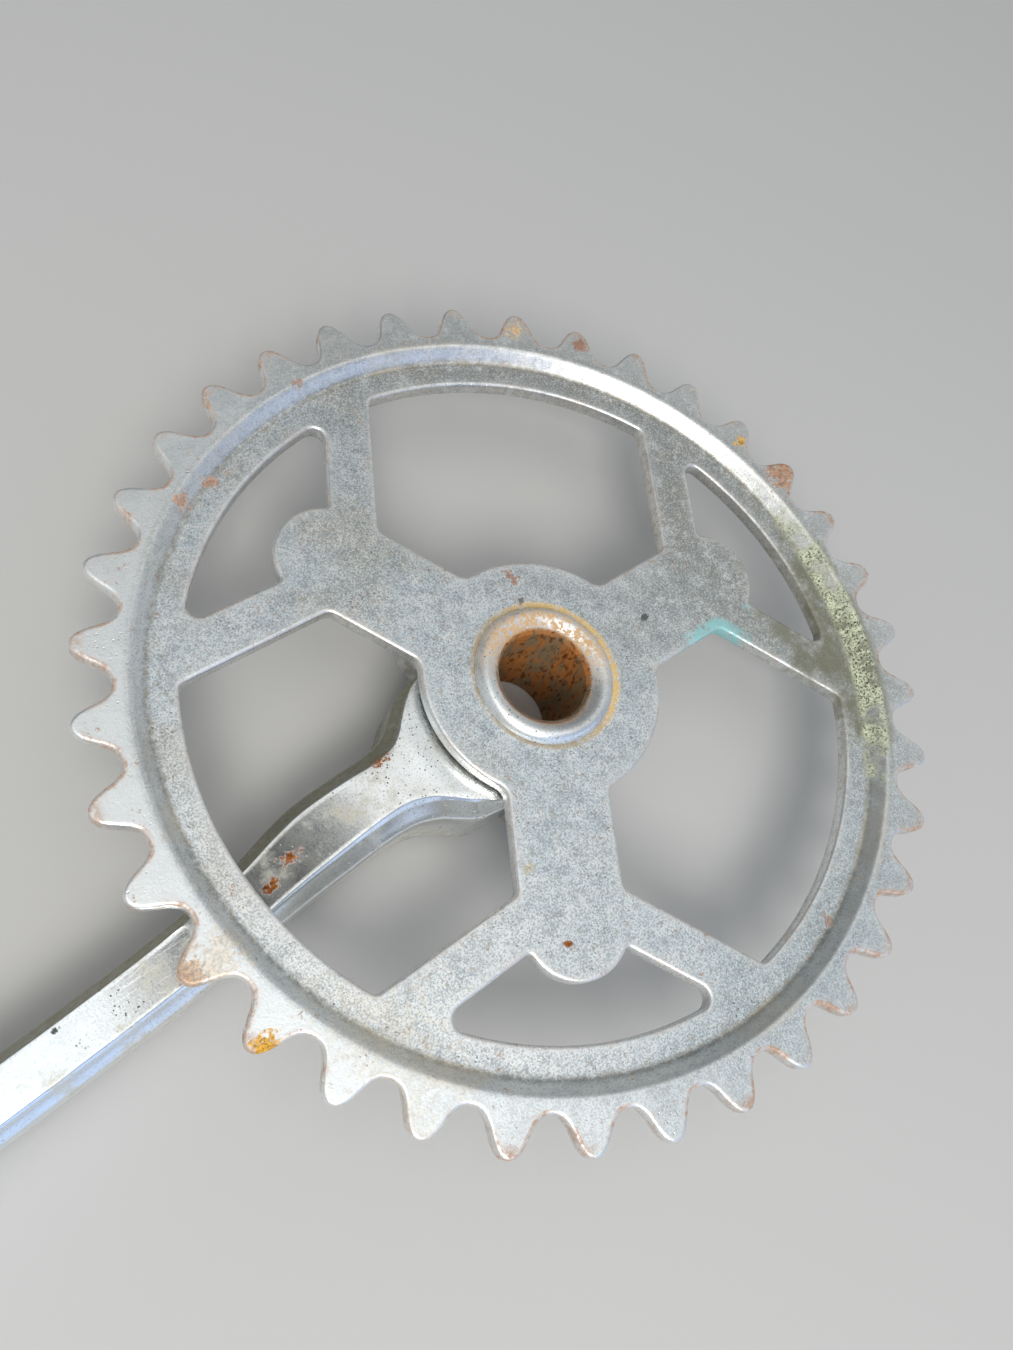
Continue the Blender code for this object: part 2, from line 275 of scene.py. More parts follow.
# inboard face of the pressed sheet: a straight slope with rounded foot and brow
def surfaceHeight(radius):
    t = (radius - ring["dishInner"]) / (ring["dishOuter"] - ring["dishInner"])
    t, bend = min(max(t, 0), 1), ring["bend"]
    if t < bend:
        share = t * t / (2 * bend)
    elif t > 1 - bend:
        share = 1 - bend - (1 - t) ** 2 / (2 * bend)
    else:
        share = t - bend / 2
    return bandTop - ring["dish"] * (1 - share / (1 - bend))


def underHeight(radius):
    return surfaceHeight(radius - 0.45 * ring["sheet"]) - ring["sheet"]


# (inset, fall below the face, wear) over the inboard edge, down the wall and round under
def edgeSection():
    top, under = ring["topEdge"], ring["underEdge"]
    section = [(3.0, 0, 0.0), (1.5, 0, 0.15), (top * 1.3, 0, 0.5)]
    for k in range(6):
        a = math.radians(18 * k)
        section.append((top * (1 - math.sin(a)), top * 0.85 * (1 - math.cos(a)), 1.0))
    section[-1] = (0, top * 0.85, 0.9)
    bottom = [(0, under, 0.5), (under * 0.3, under * 0.3, 0.5), (under, 0, 0.5), (1.0, 0, 0.2),
              (3.0, 0, 0)]
    return section, bottom


# skins the edge of the sheet along an outline; returns its first and last rows
def sweepEdge(bm, wear, outline, normals, closed, deepest=3.0):
    top, bottom = edgeSection()
    made = []
    for rows, surface, way in ((top, surfaceHeight, -1), (bottom, underHeight, 1)):
        for inset, fall, worn in rows:
            if inset > deepest:                 # too deep for a tooth
                continue
            verts = []
            for p, n in zip(outline, normals):
                p = p + n * inset
                vert = bm.verts.new((p.x, p.y, surface(p.length) + way * fall))
                vert[wear] = worn
                verts.append(vert)
            made.append(verts)
    count = len(outline)
    for upper, lower in zip(made, made[1:]):
        for i in range(count if closed else count - 1):
            j = (i + 1) % count
            bm.faces.new((upper[i], upper[j], lower[j], lower[i]))
    return made[0], made[-1]


# from the middle of a gap to the tip: (angle before the tip in radians, radius)
def toothHalf():
    root = ring["chainPitch"] / (2 * math.sin(math.pi / ring["teeth"])) - ring["rootDepth"]
    row = smoothRow([(half, rise, 0) for rise, half in ring["flank"]], ring["halfToothPoints"] - 1)
    points = [(p.x / (root + p.y), root + p.y) for p in row]
    points[0] = (math.pi / ring["teeth"], root)
    return points


# one tooth round +X, gap to gap
def toothOutline():
    half = toothHalf()
    angles = [(-a, r) for a, r in half] + [(a, r) for a, r in reversed(half[:-1])]
    return [Vector((r * math.cos(a), r * math.sin(a))) for a, r in angles]


# one tooth with its stretch of band and slope, open where the next ones join it
def makeTooth():
    bm = bmesh.new()
    wear = bm.verts.layers.float.new("edgeWear")
    outline = toothOutline()
    normals = [-n for n in outwardNormals(outline, closed=False)]
    normals[0], normals[-1] = -outline[0].normalized(), -outline[-1].normalized()
    first, last = sweepEdge(bm, wear, outline, normals, False, deepest=1.0)
    radii = [67.8, 67.4] + [ring["dishOuter"] - 0.2 * k for k in range(15)] + [ring["dishInner"]]
    angles = [math.atan2(v.co.y, v.co.x) for v in first]
    for row, height in ((first, surfaceHeight), (last, underHeight)):
        for radius in radii:
            fresh = []
            for angle in angles:
                vert = bm.verts.new((radius * math.cos(angle), radius * math.sin(angle), height(radius)))
                vert[wear] = 0.0
                fresh.append(vert)
            for i in range(len(row) - 1):
                bm.faces.new((row[i], row[i + 1], fresh[i + 1], fresh[i]))
            row = fresh
    bmesh.ops.recalc_face_normals(bm, faces=bm.faces)
    # faces outwards: the highest face that isn't a sliver looks up
    top = max(bm.faces, key=lambda f: f.calc_center_median().z + (f.calc_area() > 0))
    if top.normal.z < 0:
        bmesh.ops.reverse_faces(bm, faces=bm.faces)
    return meshObject("toothShape", bm, recalc=False), angles


# spider and rim up to the foot of the slope, open along that circle
def makeWeb(angles):
    bm = bmesh.new()
    wear = bm.verts.layers.float.new("edgeWear")
    phase = math.radians(ring["phase"])
    circle = []
    foot = ring["dishInner"]
    for k in range(ring["teeth"]):
        middle = phase + 2 * math.pi * k / ring["teeth"]
        circle += [Vector((foot * math.cos(middle + a), foot * math.sin(middle + a))) for a in angles[:-1]]
    outlines = []
    for k in range(ring["arms"]):
        turn = Matrix.Rotation(math.radians(ring["spiderPhase"] + 360 / ring["arms"] * k), 2)
        for outline in (bigOpening(), smallWindow()):
            outlines.append([turn @ p for p in outline])
    outlines.append([onRay(ring["hole"], 360 * i / 120) for i in range(120)])
    topRows, underRows = [], []
    for outline in outlines:
        first, last = sweepEdge(bm, wear, outline, outwardNormals(outline), True)
        topRows.append(first)
        underRows.append(last)
    # flat faces of the sheet, with the openings left out
    plan, loops = [], []
    for row in topRows + [circle]:
        loops.append(list(range(len(plan), len(plan) + len(row))))
        plan += [Vector((p.co.x, p.co.y)) if hasattr(p, "co") else p for p in row]
    _, _, faces, origins, _, loopsOf = delaunay_2d_cdt(plan, [], loops, 1, 1e-5)
    faces = [[origins[i][0] for i in face] for face, inside in zip(faces, loopsOf) if len(inside) == 1]
    for rows, z, forward in ((topRows, surfaceHeight(0), True), (underRows, underHeight(0), False)):
        verts = [vert for row in rows for vert in row]
        verts += [bm.verts.new((p.x, p.y, z)) for p in circle]
        for face in faces:
            bm.faces.new([verts[i] for i in (face if forward else face[::-1])])
    bmesh.ops.recalc_face_normals(bm, faces=bm.faces)
    level = surfaceHeight(0) - 0.01
    flat = [f for f in bm.faces if abs(f.normal.z) > 0.99 and f.calc_center_median().z > level]
    if flat and flat[0].normal.z < 0:
        bmesh.ops.reverse_faces(bm, faces=bm.faces)
    return meshObject("webShape", bm, recalc=False)


def addNode(tree, kind, inputs=None, **settings):
    made = tree.nodes.new(kind)
    for key, value in settings.items():
        setattr(made, key, value)
    for key, value in (inputs or {}).items():
        socket = made.inputs[key]
        if isinstance(value, bpy.types.NodeSocket):
            tree.links.new(value, socket)
        else:
            socket.default_value = value
    return made


def calc(tree, operation, a, b=0.0):
    return addNode(tree, "ShaderNodeMath", {0: a, 1: b}, operation=operation).outputs[0]


# repeats the tooth round the web and welds them: inputs are named below
def ringTree():
    tree = bpy.data.node_groups.new("toothedRing", "GeometryNodeTree")
    face = tree.interface
    face.new_socket("Geometry", in_out="INPUT", socket_type="NodeSocketGeometry")
    face.new_socket("Tooth", in_out="INPUT", socket_type="NodeSocketObject")
    for name, kind in (("Teeth", "NodeSocketInt"), ("First Tooth", "NodeSocketFloat"),
                       ("Tip Wear", "NodeSocketFloat"), ("Root Radius", "NodeSocketFloat"),
                       ("Seed", "NodeSocketInt"), ("Material", "NodeSocketMaterial")):
        face.new_socket(name, in_out="INPUT", socket_type=kind)
    face.new_socket("Geometry", in_out="OUTPUT", socket_type="NodeSocketGeometry")
    given = addNode(tree, "NodeGroupInput").outputs
    tooth = addNode(tree, "GeometryNodeObjectInfo", {"Object": given["Tooth"]}).outputs["Geometry"]
    points = addNode(tree, "GeometryNodePoints", {"Count": given["Teeth"]}).outputs[0]
    index = addNode(tree, "GeometryNodeInputIndex").outputs[0]
    step = calc(tree, "DIVIDE", 2 * math.pi, given["Teeth"])
    angle = calc(tree, "ADD", calc(tree, "MULTIPLY", index, step), given["First Tooth"])
    turn = addNode(tree, "ShaderNodeCombineXYZ", {"Z": angle}).outputs[0]
    copies = addNode(tree, "GeometryNodeInstanceOnPoints",
                     {"Points": points, "Instance": tooth, "Rotation": turn}).outputs[0]
    chance = addNode(tree, "FunctionNodeRandomValue", {"Seed": given["Seed"]}, data_type="FLOAT")
    marked = addNode(tree, "GeometryNodeStoreNamedAttribute",
                     {"Geometry": copies, "Name": "tipChance", "Value": chance.outputs[1]},
                     data_type="FLOAT", domain="INSTANCE").outputs[0]
    whole = addNode(tree, "GeometryNodeJoinGeometry")
    tree.links.new(marked, whole.inputs[0])
    tree.links.new(given["Geometry"], whole.inputs[0])
    loose = addNode(tree, "GeometryNodeRealizeInstances", {"Geometry": whole.outputs[0]}).outputs[0]
    # each tip is worn back by its own amount
    place = addNode(tree, "GeometryNodeInputPosition").outputs[0]
    flat = addNode(tree, "ShaderNodeVectorMath", {0: place, 1: (1, 1, 0)}, operation="MULTIPLY").outputs[0]
    radius = addNode(tree, "ShaderNodeVectorMath", {0: flat}, operation="LENGTH").outputs["Value"]
    above = calc(tree, "SUBTRACT", radius, given["Root Radius"])
    share = calc(tree, "POWER", calc(tree, "DIVIDE", calc(tree, "MAXIMUM", above, 0.0), 6.4), 2.0)
    mark = addNode(tree, "GeometryNodeInputNamedAttribute", {"Name": "tipChance"}, data_type="FLOAT")
    back = calc(tree, "MULTIPLY", calc(tree, "MULTIPLY", share, mark.outputs[0]), given["Tip Wear"])
    inward = addNode(tree, "ShaderNodeVectorMath", {0: flat}, operation="NORMALIZE").outputs[0]
    move = addNode(tree, "ShaderNodeVectorMath", {0: inward, "Scale": calc(tree, "MULTIPLY", back, -1.0)},
                   operation="SCALE").outputs[0]
    worn = addNode(tree, "GeometryNodeSetPosition", {"Geometry": loose, "Offset": move}).outputs[0]
    welded = addNode(tree, "GeometryNodeMergeByDistance", {"Geometry": worn, "Distance": 0.004}).outputs[0]
    smooth = addNode(tree, "GeometryNodeSetShadeSmooth", {"Geometry": welded}).outputs[0]
    last = addNode(tree, "GeometryNodeSetMaterial",
                   {"Geometry": smooth, "Material": given["Material"]}).outputs[0]
    addNode(tree, "NodeGroupOutput", {0: last})
    return tree


def useTree(obj, tree, values):
    nodes = obj.modifiers.new(tree.name, "NODES")
    nodes.node_group = tree
    for item in tree.interface.items_tree:
        if item.item_type == "SOCKET" and item.in_out == "INPUT" and item.name in values:
            nodes[item.identifier] = values[item.name]


def makeChainring(finish):
    tooth, angles = makeTooth()
    web = makeWeb(angles)
    root = toothHalf()[0][1]
    useTree(web, ringTree(), {
        "Tooth": tooth, "Teeth": ring["teeth"], "First Tooth": math.radians(ring["phase"]),
        "Tip Wear": ring["tipWear"], "Root Radius": root, "Seed": 7, "Material": finish})
    whole = baked(web, "chainringShown")
    bpy.data.objects.remove(tooth, do_unlink=True)
    moveToAxle(whole)
    ride(whole, finish, "chainring")
    print("chainring:", len(whole.data.polygons), "faces")


crank = {
    "length": 152.0, "bore": 8.0, "boss": 16.0, "bossTop": webUnder - 0.25, "spigot": 10.5,
    "lip": 12.6, "lipTop": armHigh.z / mm, "seatHalf": 13.4, "eye": 12.5, "eyeThickness": 13.0,
    "pedalHole": 6.7, "cotterDrop": 9.3, "cotterHeight": 10.0, "cotterHole": 5.0,
    "seatAlong": -13.5, "seatCut": (25, 10, 30),        # flats that the cotter's washer and head sit on
    # rolled edge from its foot, up and over: how far in from the lip and down from its top
    "lipShape": ((0.1, 1.70), (0, 1.60), (0.12, 1.25), (0.35, 0.85), (0.70, 0.45), (1.15, 0.15), (1.65, 0),
                 (2.2, 0.06), (2.8, 0.30), (3.4, 0.70), (3.9, 1.20), (4.3, 1.80), (4.55, 2.5)),
    # stations: distance from the axle, sideways set, half width, top, bottom,
    # bevel width, bevel depth
    "stations": (
        (3.0, 0.0, 13.4, 19.0, 2.0, 0.5, 0.6), (16.0, 0.0, 13.4, 19.0, 2.0, 0.7, 0.7),
        (18.5, 0.0, 13.2, 19.0, 2.0, 1.1, 1.1), (20.5, 0.0, 12.8, 19.0, 2.0, 2.0, 1.9),
        (23.0, 0.2, 11.9, 19.0, 2.1, 3.0, 2.8), (25.5, 0.2, 10.1, 19.0, 2.3, 3.5, 3.3),
        (28.0, -0.1, 8.4, 18.9, 2.5, 3.5, 3.3), (32.0, -0.7, 7.2, 18.8, 2.9, 3.3, 3.1),
        (38.0, -1.2, 6.95, 18.6, 3.3, 3.0, 2.9), (46.0, -1.3, 6.9, 18.2, 3.6, 2.8, 2.8),
        (52.0, -0.9, 6.4, 17.9, 3.7, 2.6, 2.6), (58.0, -0.2, 5.8, 17.5, 3.7, 2.4, 2.5),
        (66.0, 0.5, 5.45, 17.1, 3.6, 2.2, 2.4), (76.0, 0.9, 5.3, 16.7, 3.4, 2.1, 2.4),
        (90.0, 0.9, 5.2, 16.2, 3.0, 2.1, 2.4), (105.0, 0.6, 5.15, 15.6, 2.4, 2.1, 2.4),
        (120.0, 0.3, 5.2, 14.9, 1.6, 2.0, 2.3), (130.0, 0.1, 5.6, 14.3, 1.1, 1.9, 2.1),
        (137.0, 0.0, 6.9, 13.7, 0.7, 1.6, 1.6), (142.0, 0.0, 9.2, 13.2, 0.3, 1.3, 1.2),
        (146.5, 0.0, 11.2, 13.0, 0.0, 0.9, 0.9),
    ),
    "bevelRight": 1.14, "bevelLeft": 0.72,      # shares of the bevel width on -Y and +Y
}


# half of the closed section: (part of the face's half width or None, inset, z, line mark)
def armSection(station, share):
    top, under, width, depth = station[3:]
    width *= share
    points = [(k / 5, width, top, 0.0) for k in range(5)]
    # flat bevel with softened edges
    bevel = ((width + 0.20, 0), (width + 0.02, 0.03), (width - 0.16, 0.15 * depth / width))
    points += [(None, inset, top - fall, 1.0 if i == 1 else 0.0) for i, (inset, fall) in enumerate(bevel)]
    points += [(None, width * (1 - t), top - depth * t - 0.10 * math.sin(math.pi * t), 0.0)
               for t in (0.25, 0.45, 0.65, 0.82)]
    points += [(None, part * width, top - depth * fall, 0.0)
               for part, fall in ((0.10, 0.92), (0.035, 1.06), (0, 1.25))]
    low = min(2.6, (top - under) * 0.3)
    for k in range(6):
        a = math.radians(18 * k)
        points.append((None, width * 0.9 * (1 - math.cos(a)), under + low * (1 - math.sin(a)), 0.0))
    points += [(k / 4, width * 0.9, under, 0.0) for k in (3, 2, 1, 0)]
    return points


# smooth value of every column at a distance along the arm
def between(stations, distance):
    i = 0
    while i < len(stations) - 2 and stations[i + 1][0] <= distance:
        i += 1
    a, b = stations[i], stations[i + 1]
    before, after = stations[max(i - 1, 0)], stations[min(i + 2, len(stations) - 1)]
    span = b[0] - a[0]
    t = (distance - a[0]) / span
    values = [distance]
    for k in range(1, len(a)):
        rise = (b[k] - before[k]) / (b[0] - before[0]) * span if i else b[k] - a[k]
        fall = (after[k] - a[k]) / (after[0] - a[0]) * span
        values.append(a[k] * (2 * t ** 3 - 3 * t * t + 1) + b[k] * (3 * t * t - 2 * t ** 3)
                      + rise * (t ** 3 - 2 * t * t + t) + fall * (t ** 3 - t * t))
    return tuple(values)


# the forging from the cotter block to the rounded pedal eye
def makeArmLoft():
    bm = bmesh.new()
    line = bm.verts.layers.float.new("creaseLine")
    stations = crank["stations"]
    rows = []
    steps = 150
    for n in range(steps + 1):
        distance = stations[0][0] + (stations[-1][0] - stations[0][0]) * n / steps
        station = between(stations, distance)
        side, half = station[1], station[2]
        pair = []
        for way, share in ((-1, crank["bevelRight"]), (1, crank["bevelLeft"])):
            pair.append([(-distance, -side + way * (half - inset) * (1 if part is None else part), z, mark)
                         for part, inset, z, mark in armSection(station, share)])
        rows.append(pair)
    last = stations[-1]
    start = math.degrees(math.asin((last[0] - crank["length"]) / crank["eye"]))
    for n in range(1, 29):
        angle = math.radians(start + (90 - start) * n / 28)
        pair = []
        for way in (-1, 1):
            reaches = [(crank["eye"] - inset, part, z, mark)
                       for part, inset, z, mark in armSection(last, 1)]
            pair.append([(-crank["length"] - reach * math.sin(angle),
                          way * reach * math.cos(angle) * (1 if part is None else part), z, mark)
                         for reach, part, z, mark in reaches])
        rows.append(pair)
    made = []
    for right, left in rows:
        loop = right + left[::-1][1:-1]         # the middle points are shared
        verts = []
        for x, y, z, mark in loop:
            vert = bm.verts.new((x, y, z))
            vert[line] = mark
            verts.append(vert)
        made.append(verts)
    for a, b in zip(made, made[1:]):
        joinRows(bm, a, b)
    bm.faces.new(made[0])
    bmesh.ops.remove_doubles(bm, verts=bm.verts, dist=1e-4)
    bmesh.ops.dissolve_degenerate(bm, dist=1e-5, edges=bm.edges)
    return meshObject("armLoft", bm)


def arcRows(centre, radius, start, end, count):
    return [(centre[0] + radius * math.cos(math.radians(start + (end - start) * k / count)),
             centre[1] + radius * math.sin(math.radians(start + (end - start) * k / count)))
            for k in range(count + 1)]


# the cotter's own +Z runs along the pin from its head to its thread
def cotterPlace():
    return (Matrix.Translation((-crank["cotterDrop"], 0, crank["cotterHeight"]))
            @ Matrix.Rotation(math.radians(90), 4, "X"))


# everything that is cut out of the forging
def armCutters():
    bore, hole, deep = crank["bore"], crank["pedalHole"], crank["eyeThickness"]
    axle = [(0, -1), (bore + 0.2, -1), (bore + 0.2, 0), (bore, 0.2), (bore, 30), (0, 30)]
    pedal = [(0, -1), (hole + 0.9, -1), (hole + 0.9, -0.1), (hole, 0.8), (hole, deep - 0.8),
             (hole + 0.9, deep + 0.1), (hole + 0.9, 20), (0, 20)]
    pin = [(0, -40), (crank["cotterHole"], -40), (crank["cotterHole"], 40), (0, 40)]
    cutters = [turned("boreShape", axle, 96), turned("eyeShape", pedal, 72, (-crank["length"], 0)),
               turned("pinHole", pin, 72)]
    cutters[-1].data.transform(cotterPlace())
    for side in (1, -1):
        bm = bmesh.new()
        bmesh.ops.create_cube(bm, size=1)
        out = side * (crank["seatHalf"] + crank["seatCut"][1] / 2)
        place = Matrix.Translation((crank["seatAlong"], out, crank["cotterHeight"]))
        bmesh.ops.transform(bm, verts=bm.verts, matrix=place @ Matrix.Diagonal((*crank["seatCut"], 1)))
        cutters.append(meshObject("seatShape", bm))
    return cutters


def makeCrankArm(finish):
    arm = makeArmLoft()
    boss, top, spigot, lip = crank["boss"], crank["bossTop"], crank["spigot"], crank["lip"]
    high = crank["lipTop"]
    profile = [(0, 0)] + arcRows((boss - 1.2, 1.2), 1.2, -90, 0, 6)
    profile += arcRows((boss - 0.9, top - 0.9), 0.9, 0, 90, 6) + [(spigot, top), (spigot, high - 1.72)]
    profile += [(lip - inward, high - down) for inward, down in crank["lipShape"]] + [(0, high - 2.5)]
    body = turned("bossShape", profile, 120)
    combine(body, arm, "UNION")
    cutters = armCutters()
    for cutter in cutters:
        combine(body, cutter, "DIFFERENCE")
    whole = baked(body, "crankArmShown")
    for tool in [arm] + cutters:
        bpy.data.objects.remove(tool, do_unlink=True)
    whole.data.shade_smooth()
    whole.data.set_sharp_from_angle(angle=math.radians(38))
    moveToAxle(whole)
    ride(whole, finish, "crank_arm")
    print("crank arm:", len(whole.data.polygons), "faces")


cotter = {
    "radius": 4.75, "flat": 5.3, "headOut": 6.0, "threadOut": 11.5, "threadRadius": 3.1,
    "pitch": 1.0, "threadDepth": 0.45, "washerRadius": 7.6, "washerThickness": 1.4,
    "nutAcross": 10.0, "nutThickness": 5.2, "gap": 0.25, "hole": 3.35,
}


def fitCotterPiece(piece, finish, node, sharpAngle):
    piece.data.transform(cotterPlace())
    piece.data.shade_smooth()
    piece.data.set_sharp_from_angle(angle=math.radians(sharpAngle))
    moveToAxle(piece)
    ride(piece, finish, node)
    print(node + ":", len(piece.data.polygons), "faces")


def makeCotterPin(finish):
    radius, thread = cotter["radius"], cotter["threadRadius"]
    start, end = -(crank["seatHalf"] + cotter["headOut"]), crank["seatHalf"] + cotter["threadOut"]
    shoulder = crank["seatHalf"] - 0.6
    rows = [(start, 0), (start, radius - 0.9), (start + 0.15, radius - 0.45), (start + 0.5, radius - 0.12),
            (start + 1.0, radius)]
    rows += [(start + 1 + (shoulder - start - 1) * k / 40, radius) for k in range(1, 41)]
    rows += [(shoulder + 0.4, radius - 0.5), (shoulder + 0.5, thread)]
    first = shoulder + 1.0
    count = round((end - 0.6 - first) / (cotter["pitch"] / 8))
    threaded = [(first + (end - 0.6 - first) * k / count, thread) for k in range(count + 1)]
    segments = 64
    bm = bmesh.new()
    made = []
    for place, size in rows + threaded + [(end, thread - 0.75), (end, 0)]:
        if size == 0:
            made.append([bm.verts.new((0, 0, place))])
            continue
        ringVerts = []
        for i in range(segments):
            angle = 2 * math.pi * i / segments
            reach = size
            if place >= first and place < end:
                turn = (place - first) / cotter["pitch"] - i / segments
                fade = min(1, (place - first) / 0.8)
                reach -= cotter["threadDepth"] * abs(2 * (turn % 1) - 1) * fade
            x, y = reach * math.cos(angle), reach * math.sin(angle)
            if size > thread:                   # long flat that bears on the axle
                run = min(max((place - start - 4.5) / 6, 0), 1)
                x = min(x, (crank["cotterDrop"] - cotter["flat"]) * run + (radius + 0.1) * (1 - run))
            ringVerts.append(bm.verts.new((x, y, place)))
        made.append(ringVerts)
    for a, b in zip(made, made[1:]):
        joinRows(bm, a, b)
    fitCotterPiece(meshObject("cotterPinShown", bm), finish, "cotter_pin", 35)


def makeCotterWasher(finish):
    low = crank["seatHalf"] + cotter["gap"]
    high, hole, outer = low + cotter["washerThickness"], cotter["hole"], cotter["washerRadius"]
    profile = ([(hole, low + 0.15), (hole + 0.15, low), (outer - 0.3, low)]
               + arcRows((outer - 0.3, low + 0.3), 0.3, -90, 0, 3)[1:]
               + arcRows((outer - 0.45, high - 0.45), 0.45, 0, 90, 5)
               + [(hole + 0.2, high), (hole, high - 0.2)])
    fitCotterPiece(turned("cotterWasherShown", profile, 72), finish, "cotter_washer", 35)


def makeCotterNut(finish):
    low = crank["seatHalf"] + cotter["gap"] * 2 + cotter["washerThickness"]
    high = low + cotter["nutThickness"]
    corner, hole = cotter["nutAcross"] / math.sqrt(3), cotter["hole"]
    hexagon = turned("cotterNutShown", [(0, low), (corner, low), (corner, high), (0, high)], 6)
    inner, outer = corner - 0.75, corner + 0.05
    rounding = turned("nutRound", [
        (0, low - 0.5), (inner, low - 0.5), (inner, low), (outer, low + 0.5), (outer, high - 0.5),
        (inner, high), (inner, high + 0.5), (0, high + 0.5)], 96)
    drill = turned("nutHole", [
        (0, low - 1), (hole + 0.5, low - 1), (hole + 0.5, low), (hole, low + 0.5), (hole, high - 0.5),
        (hole + 0.5, high), (hole + 0.5, high + 1), (0, high + 1)], 48)
    combine(hexagon, rounding, "INTERSECT")
    combine(hexagon, drill, "DIFFERENCE")
    nut = baked(hexagon, "cotterNutShown")
    for tool in (rounding, drill):
        bpy.data.objects.remove(tool, do_unlink=True)
    fitCotterPiece(nut, finish, "cotter_nut", 25)


def newFinish(name):
    made = bpy.data.materials.new(name)
    made.use_nodes = True
    tree = made.node_tree
    tree.nodes.clear()
    shader = addNode(tree, "ShaderNodeBsdfPrincipled")
    addNode(tree, "ShaderNodeOutputMaterial", {"Surface": shader.outputs[0]})
    coords = addNode(tree, "ShaderNodeTexCoord").outputs["Object"]
    place = addNode(tree, "ShaderNodeMapping", {"Vector": coords, "Location": (-axleX, 0, 0),
                                                "Scale": (1 / mm, 1 / mm, 1 / mm)}).outputs[0]
    return made, tree, shader, place


# cloudy value between 0 and 1; size is the width of a cloud in millimetres
def noise(tree, place, size, detail=4.0, rough=0.55, shift=0.0):
    if shift:
        place = addNode(tree, "ShaderNodeVectorMath",
                        {0: place, 1: (shift, shift * 0.7, shift * 1.3)}).outputs[0]
    return addNode(tree, "ShaderNodeTexNoise", {"Vector": place, "Scale": 1 / size, "Detail": detail,
                                                "Roughness": rough}).outputs[0]


# distance from the middle of the nearest cell, for round pits
def cells(tree, place, size):
    return addNode(tree, "ShaderNodeTexVoronoi", {"Vector": place, "Scale": 1 / size}).outputs["Distance"]


def ramp(tree, value, low, high, start=0.0, end=1.0, smooth=True):
    return addNode(tree, "ShaderNodeMapRange",
                   {"Value": value, "From Min": low, "From Max": high, "To Min": start, "To Max": end},
                   interpolation_type="SMOOTHSTEP" if smooth else "LINEAR").outputs[0]


def blend(tree, factor, a, b):
    return addNode(tree, "ShaderNodeMix", {0: factor, 6: a, 7: b}, data_type="RGBA").outputs[2]


def product(tree, *values):
    result = values[0]
    for value in values[1:]:
        result = calc(tree, "MULTIPLY", result, value)
    return result


def highest(tree, *values):
    result = values[0]
    for value in values[1:]:
        result = calc(tree, "MAXIMUM", result, value)
    return result


# lays a shade over the colour where all the masks agree
def tint(tree, colour, shade, *masks):
    return blend(tree, product(tree, *masks), colour, shade)


def attribute(tree, name):
    return addNode(tree, "ShaderNodeAttribute", attribute_name=name).outputs["Fac"]


# what a finish is mixed from: x, y, z, distance from the axle, and its own noises
def fieldsOf(tree, place, noises):
    split = addNode(tree, "ShaderNodeSeparateXYZ", {0: place}).outputs
    flat = addNode(tree, "ShaderNodeVectorMath", {0: place, 1: (1, 1, 0)}, operation="MULTIPLY").outputs[0]
    radius = addNode(tree, "ShaderNodeVectorMath", {0: flat}, operation="LENGTH").outputs["Value"]
    at = {"x": split[0], "y": split[1], "z": split[2], "radius": radius}
    at.update({name: noise(tree, place, *settings) for name, settings in noises.items()})
    return at


# colours laid over one another, each where its noise runs from low to high
def layered(tree, at, layers, colour):
    for name, low, high, strength, shade in layers:
        colour = tint(tree, colour, shade, ramp(tree, at[name], low, high, 0, strength))
    return colour


# 1 inside a ragged patch round centre, 0 outside; size is its half width along x, y, z
def patch(tree, place, centre, size, ragged, edge=0.5, spread=4.5):
    away = addNode(tree, "ShaderNodeVectorMath", {0: place, 1: centre}, operation="SUBTRACT").outputs[0]
    scaled = addNode(tree, "ShaderNodeVectorMath", {0: away, 1: [1 / s for s in size]},
                     operation="MULTIPLY").outputs[0]
    length = addNode(tree, "ShaderNodeVectorMath", {0: scaled}, operation="LENGTH").outputs["Value"]
    rough = calc(tree, "MULTIPLY", calc(tree, "SUBTRACT", ragged, 0.5), spread)
    return ramp(tree, calc(tree, "ADD", length, rough), 1.0 - edge, 1.0, 1.0, 0.0)


# thin straight marks at an angle in the plan, kept where the chance is high
def scratches(tree, place, angle, length, width, shift, keep):
    turn = addNode(tree, "ShaderNodeMapping", {"Vector": place, "Rotation": (0, 0, math.radians(angle)),
                                               "Location": (shift, shift, 0)}).outputs[0]
    stretched = addNode(tree, "ShaderNodeVectorMath", {0: turn, 1: (1 / length, 1 / width, 0.1)},
                        operation="MULTIPLY").outputs[0]
    value = addNode(tree, "ShaderNodeTexNoise", {"Vector": stretched, "Scale": 1.0, "Detail": 1.0,
                                                 "Roughness": 0.5}).outputs[0]
    return ramp(tree, value, keep, keep + 0.05)


def bumpOn(tree, shader, height, distance, strength=1.0):
    bump = addNode(tree, "ShaderNodeBump",
                   {"Height": height, "Distance": distance * mm, "Strength": strength})
    tree.links.new(bump.outputs[0], shader.inputs["Normal"])


def setShader(tree, shader, colour, metallic, roughness, specular=None):
    values = {"Base Color": colour, "Metallic": metallic, "Roughness": roughness}
    if specular:
        values["Specular IOR Level"] = specular
    for key, value in values.items():
        if isinstance(value, bpy.types.NodeSocket):
            tree.links.new(value, shader.inputs[key])
        else:
            shader.inputs[key].default_value = value


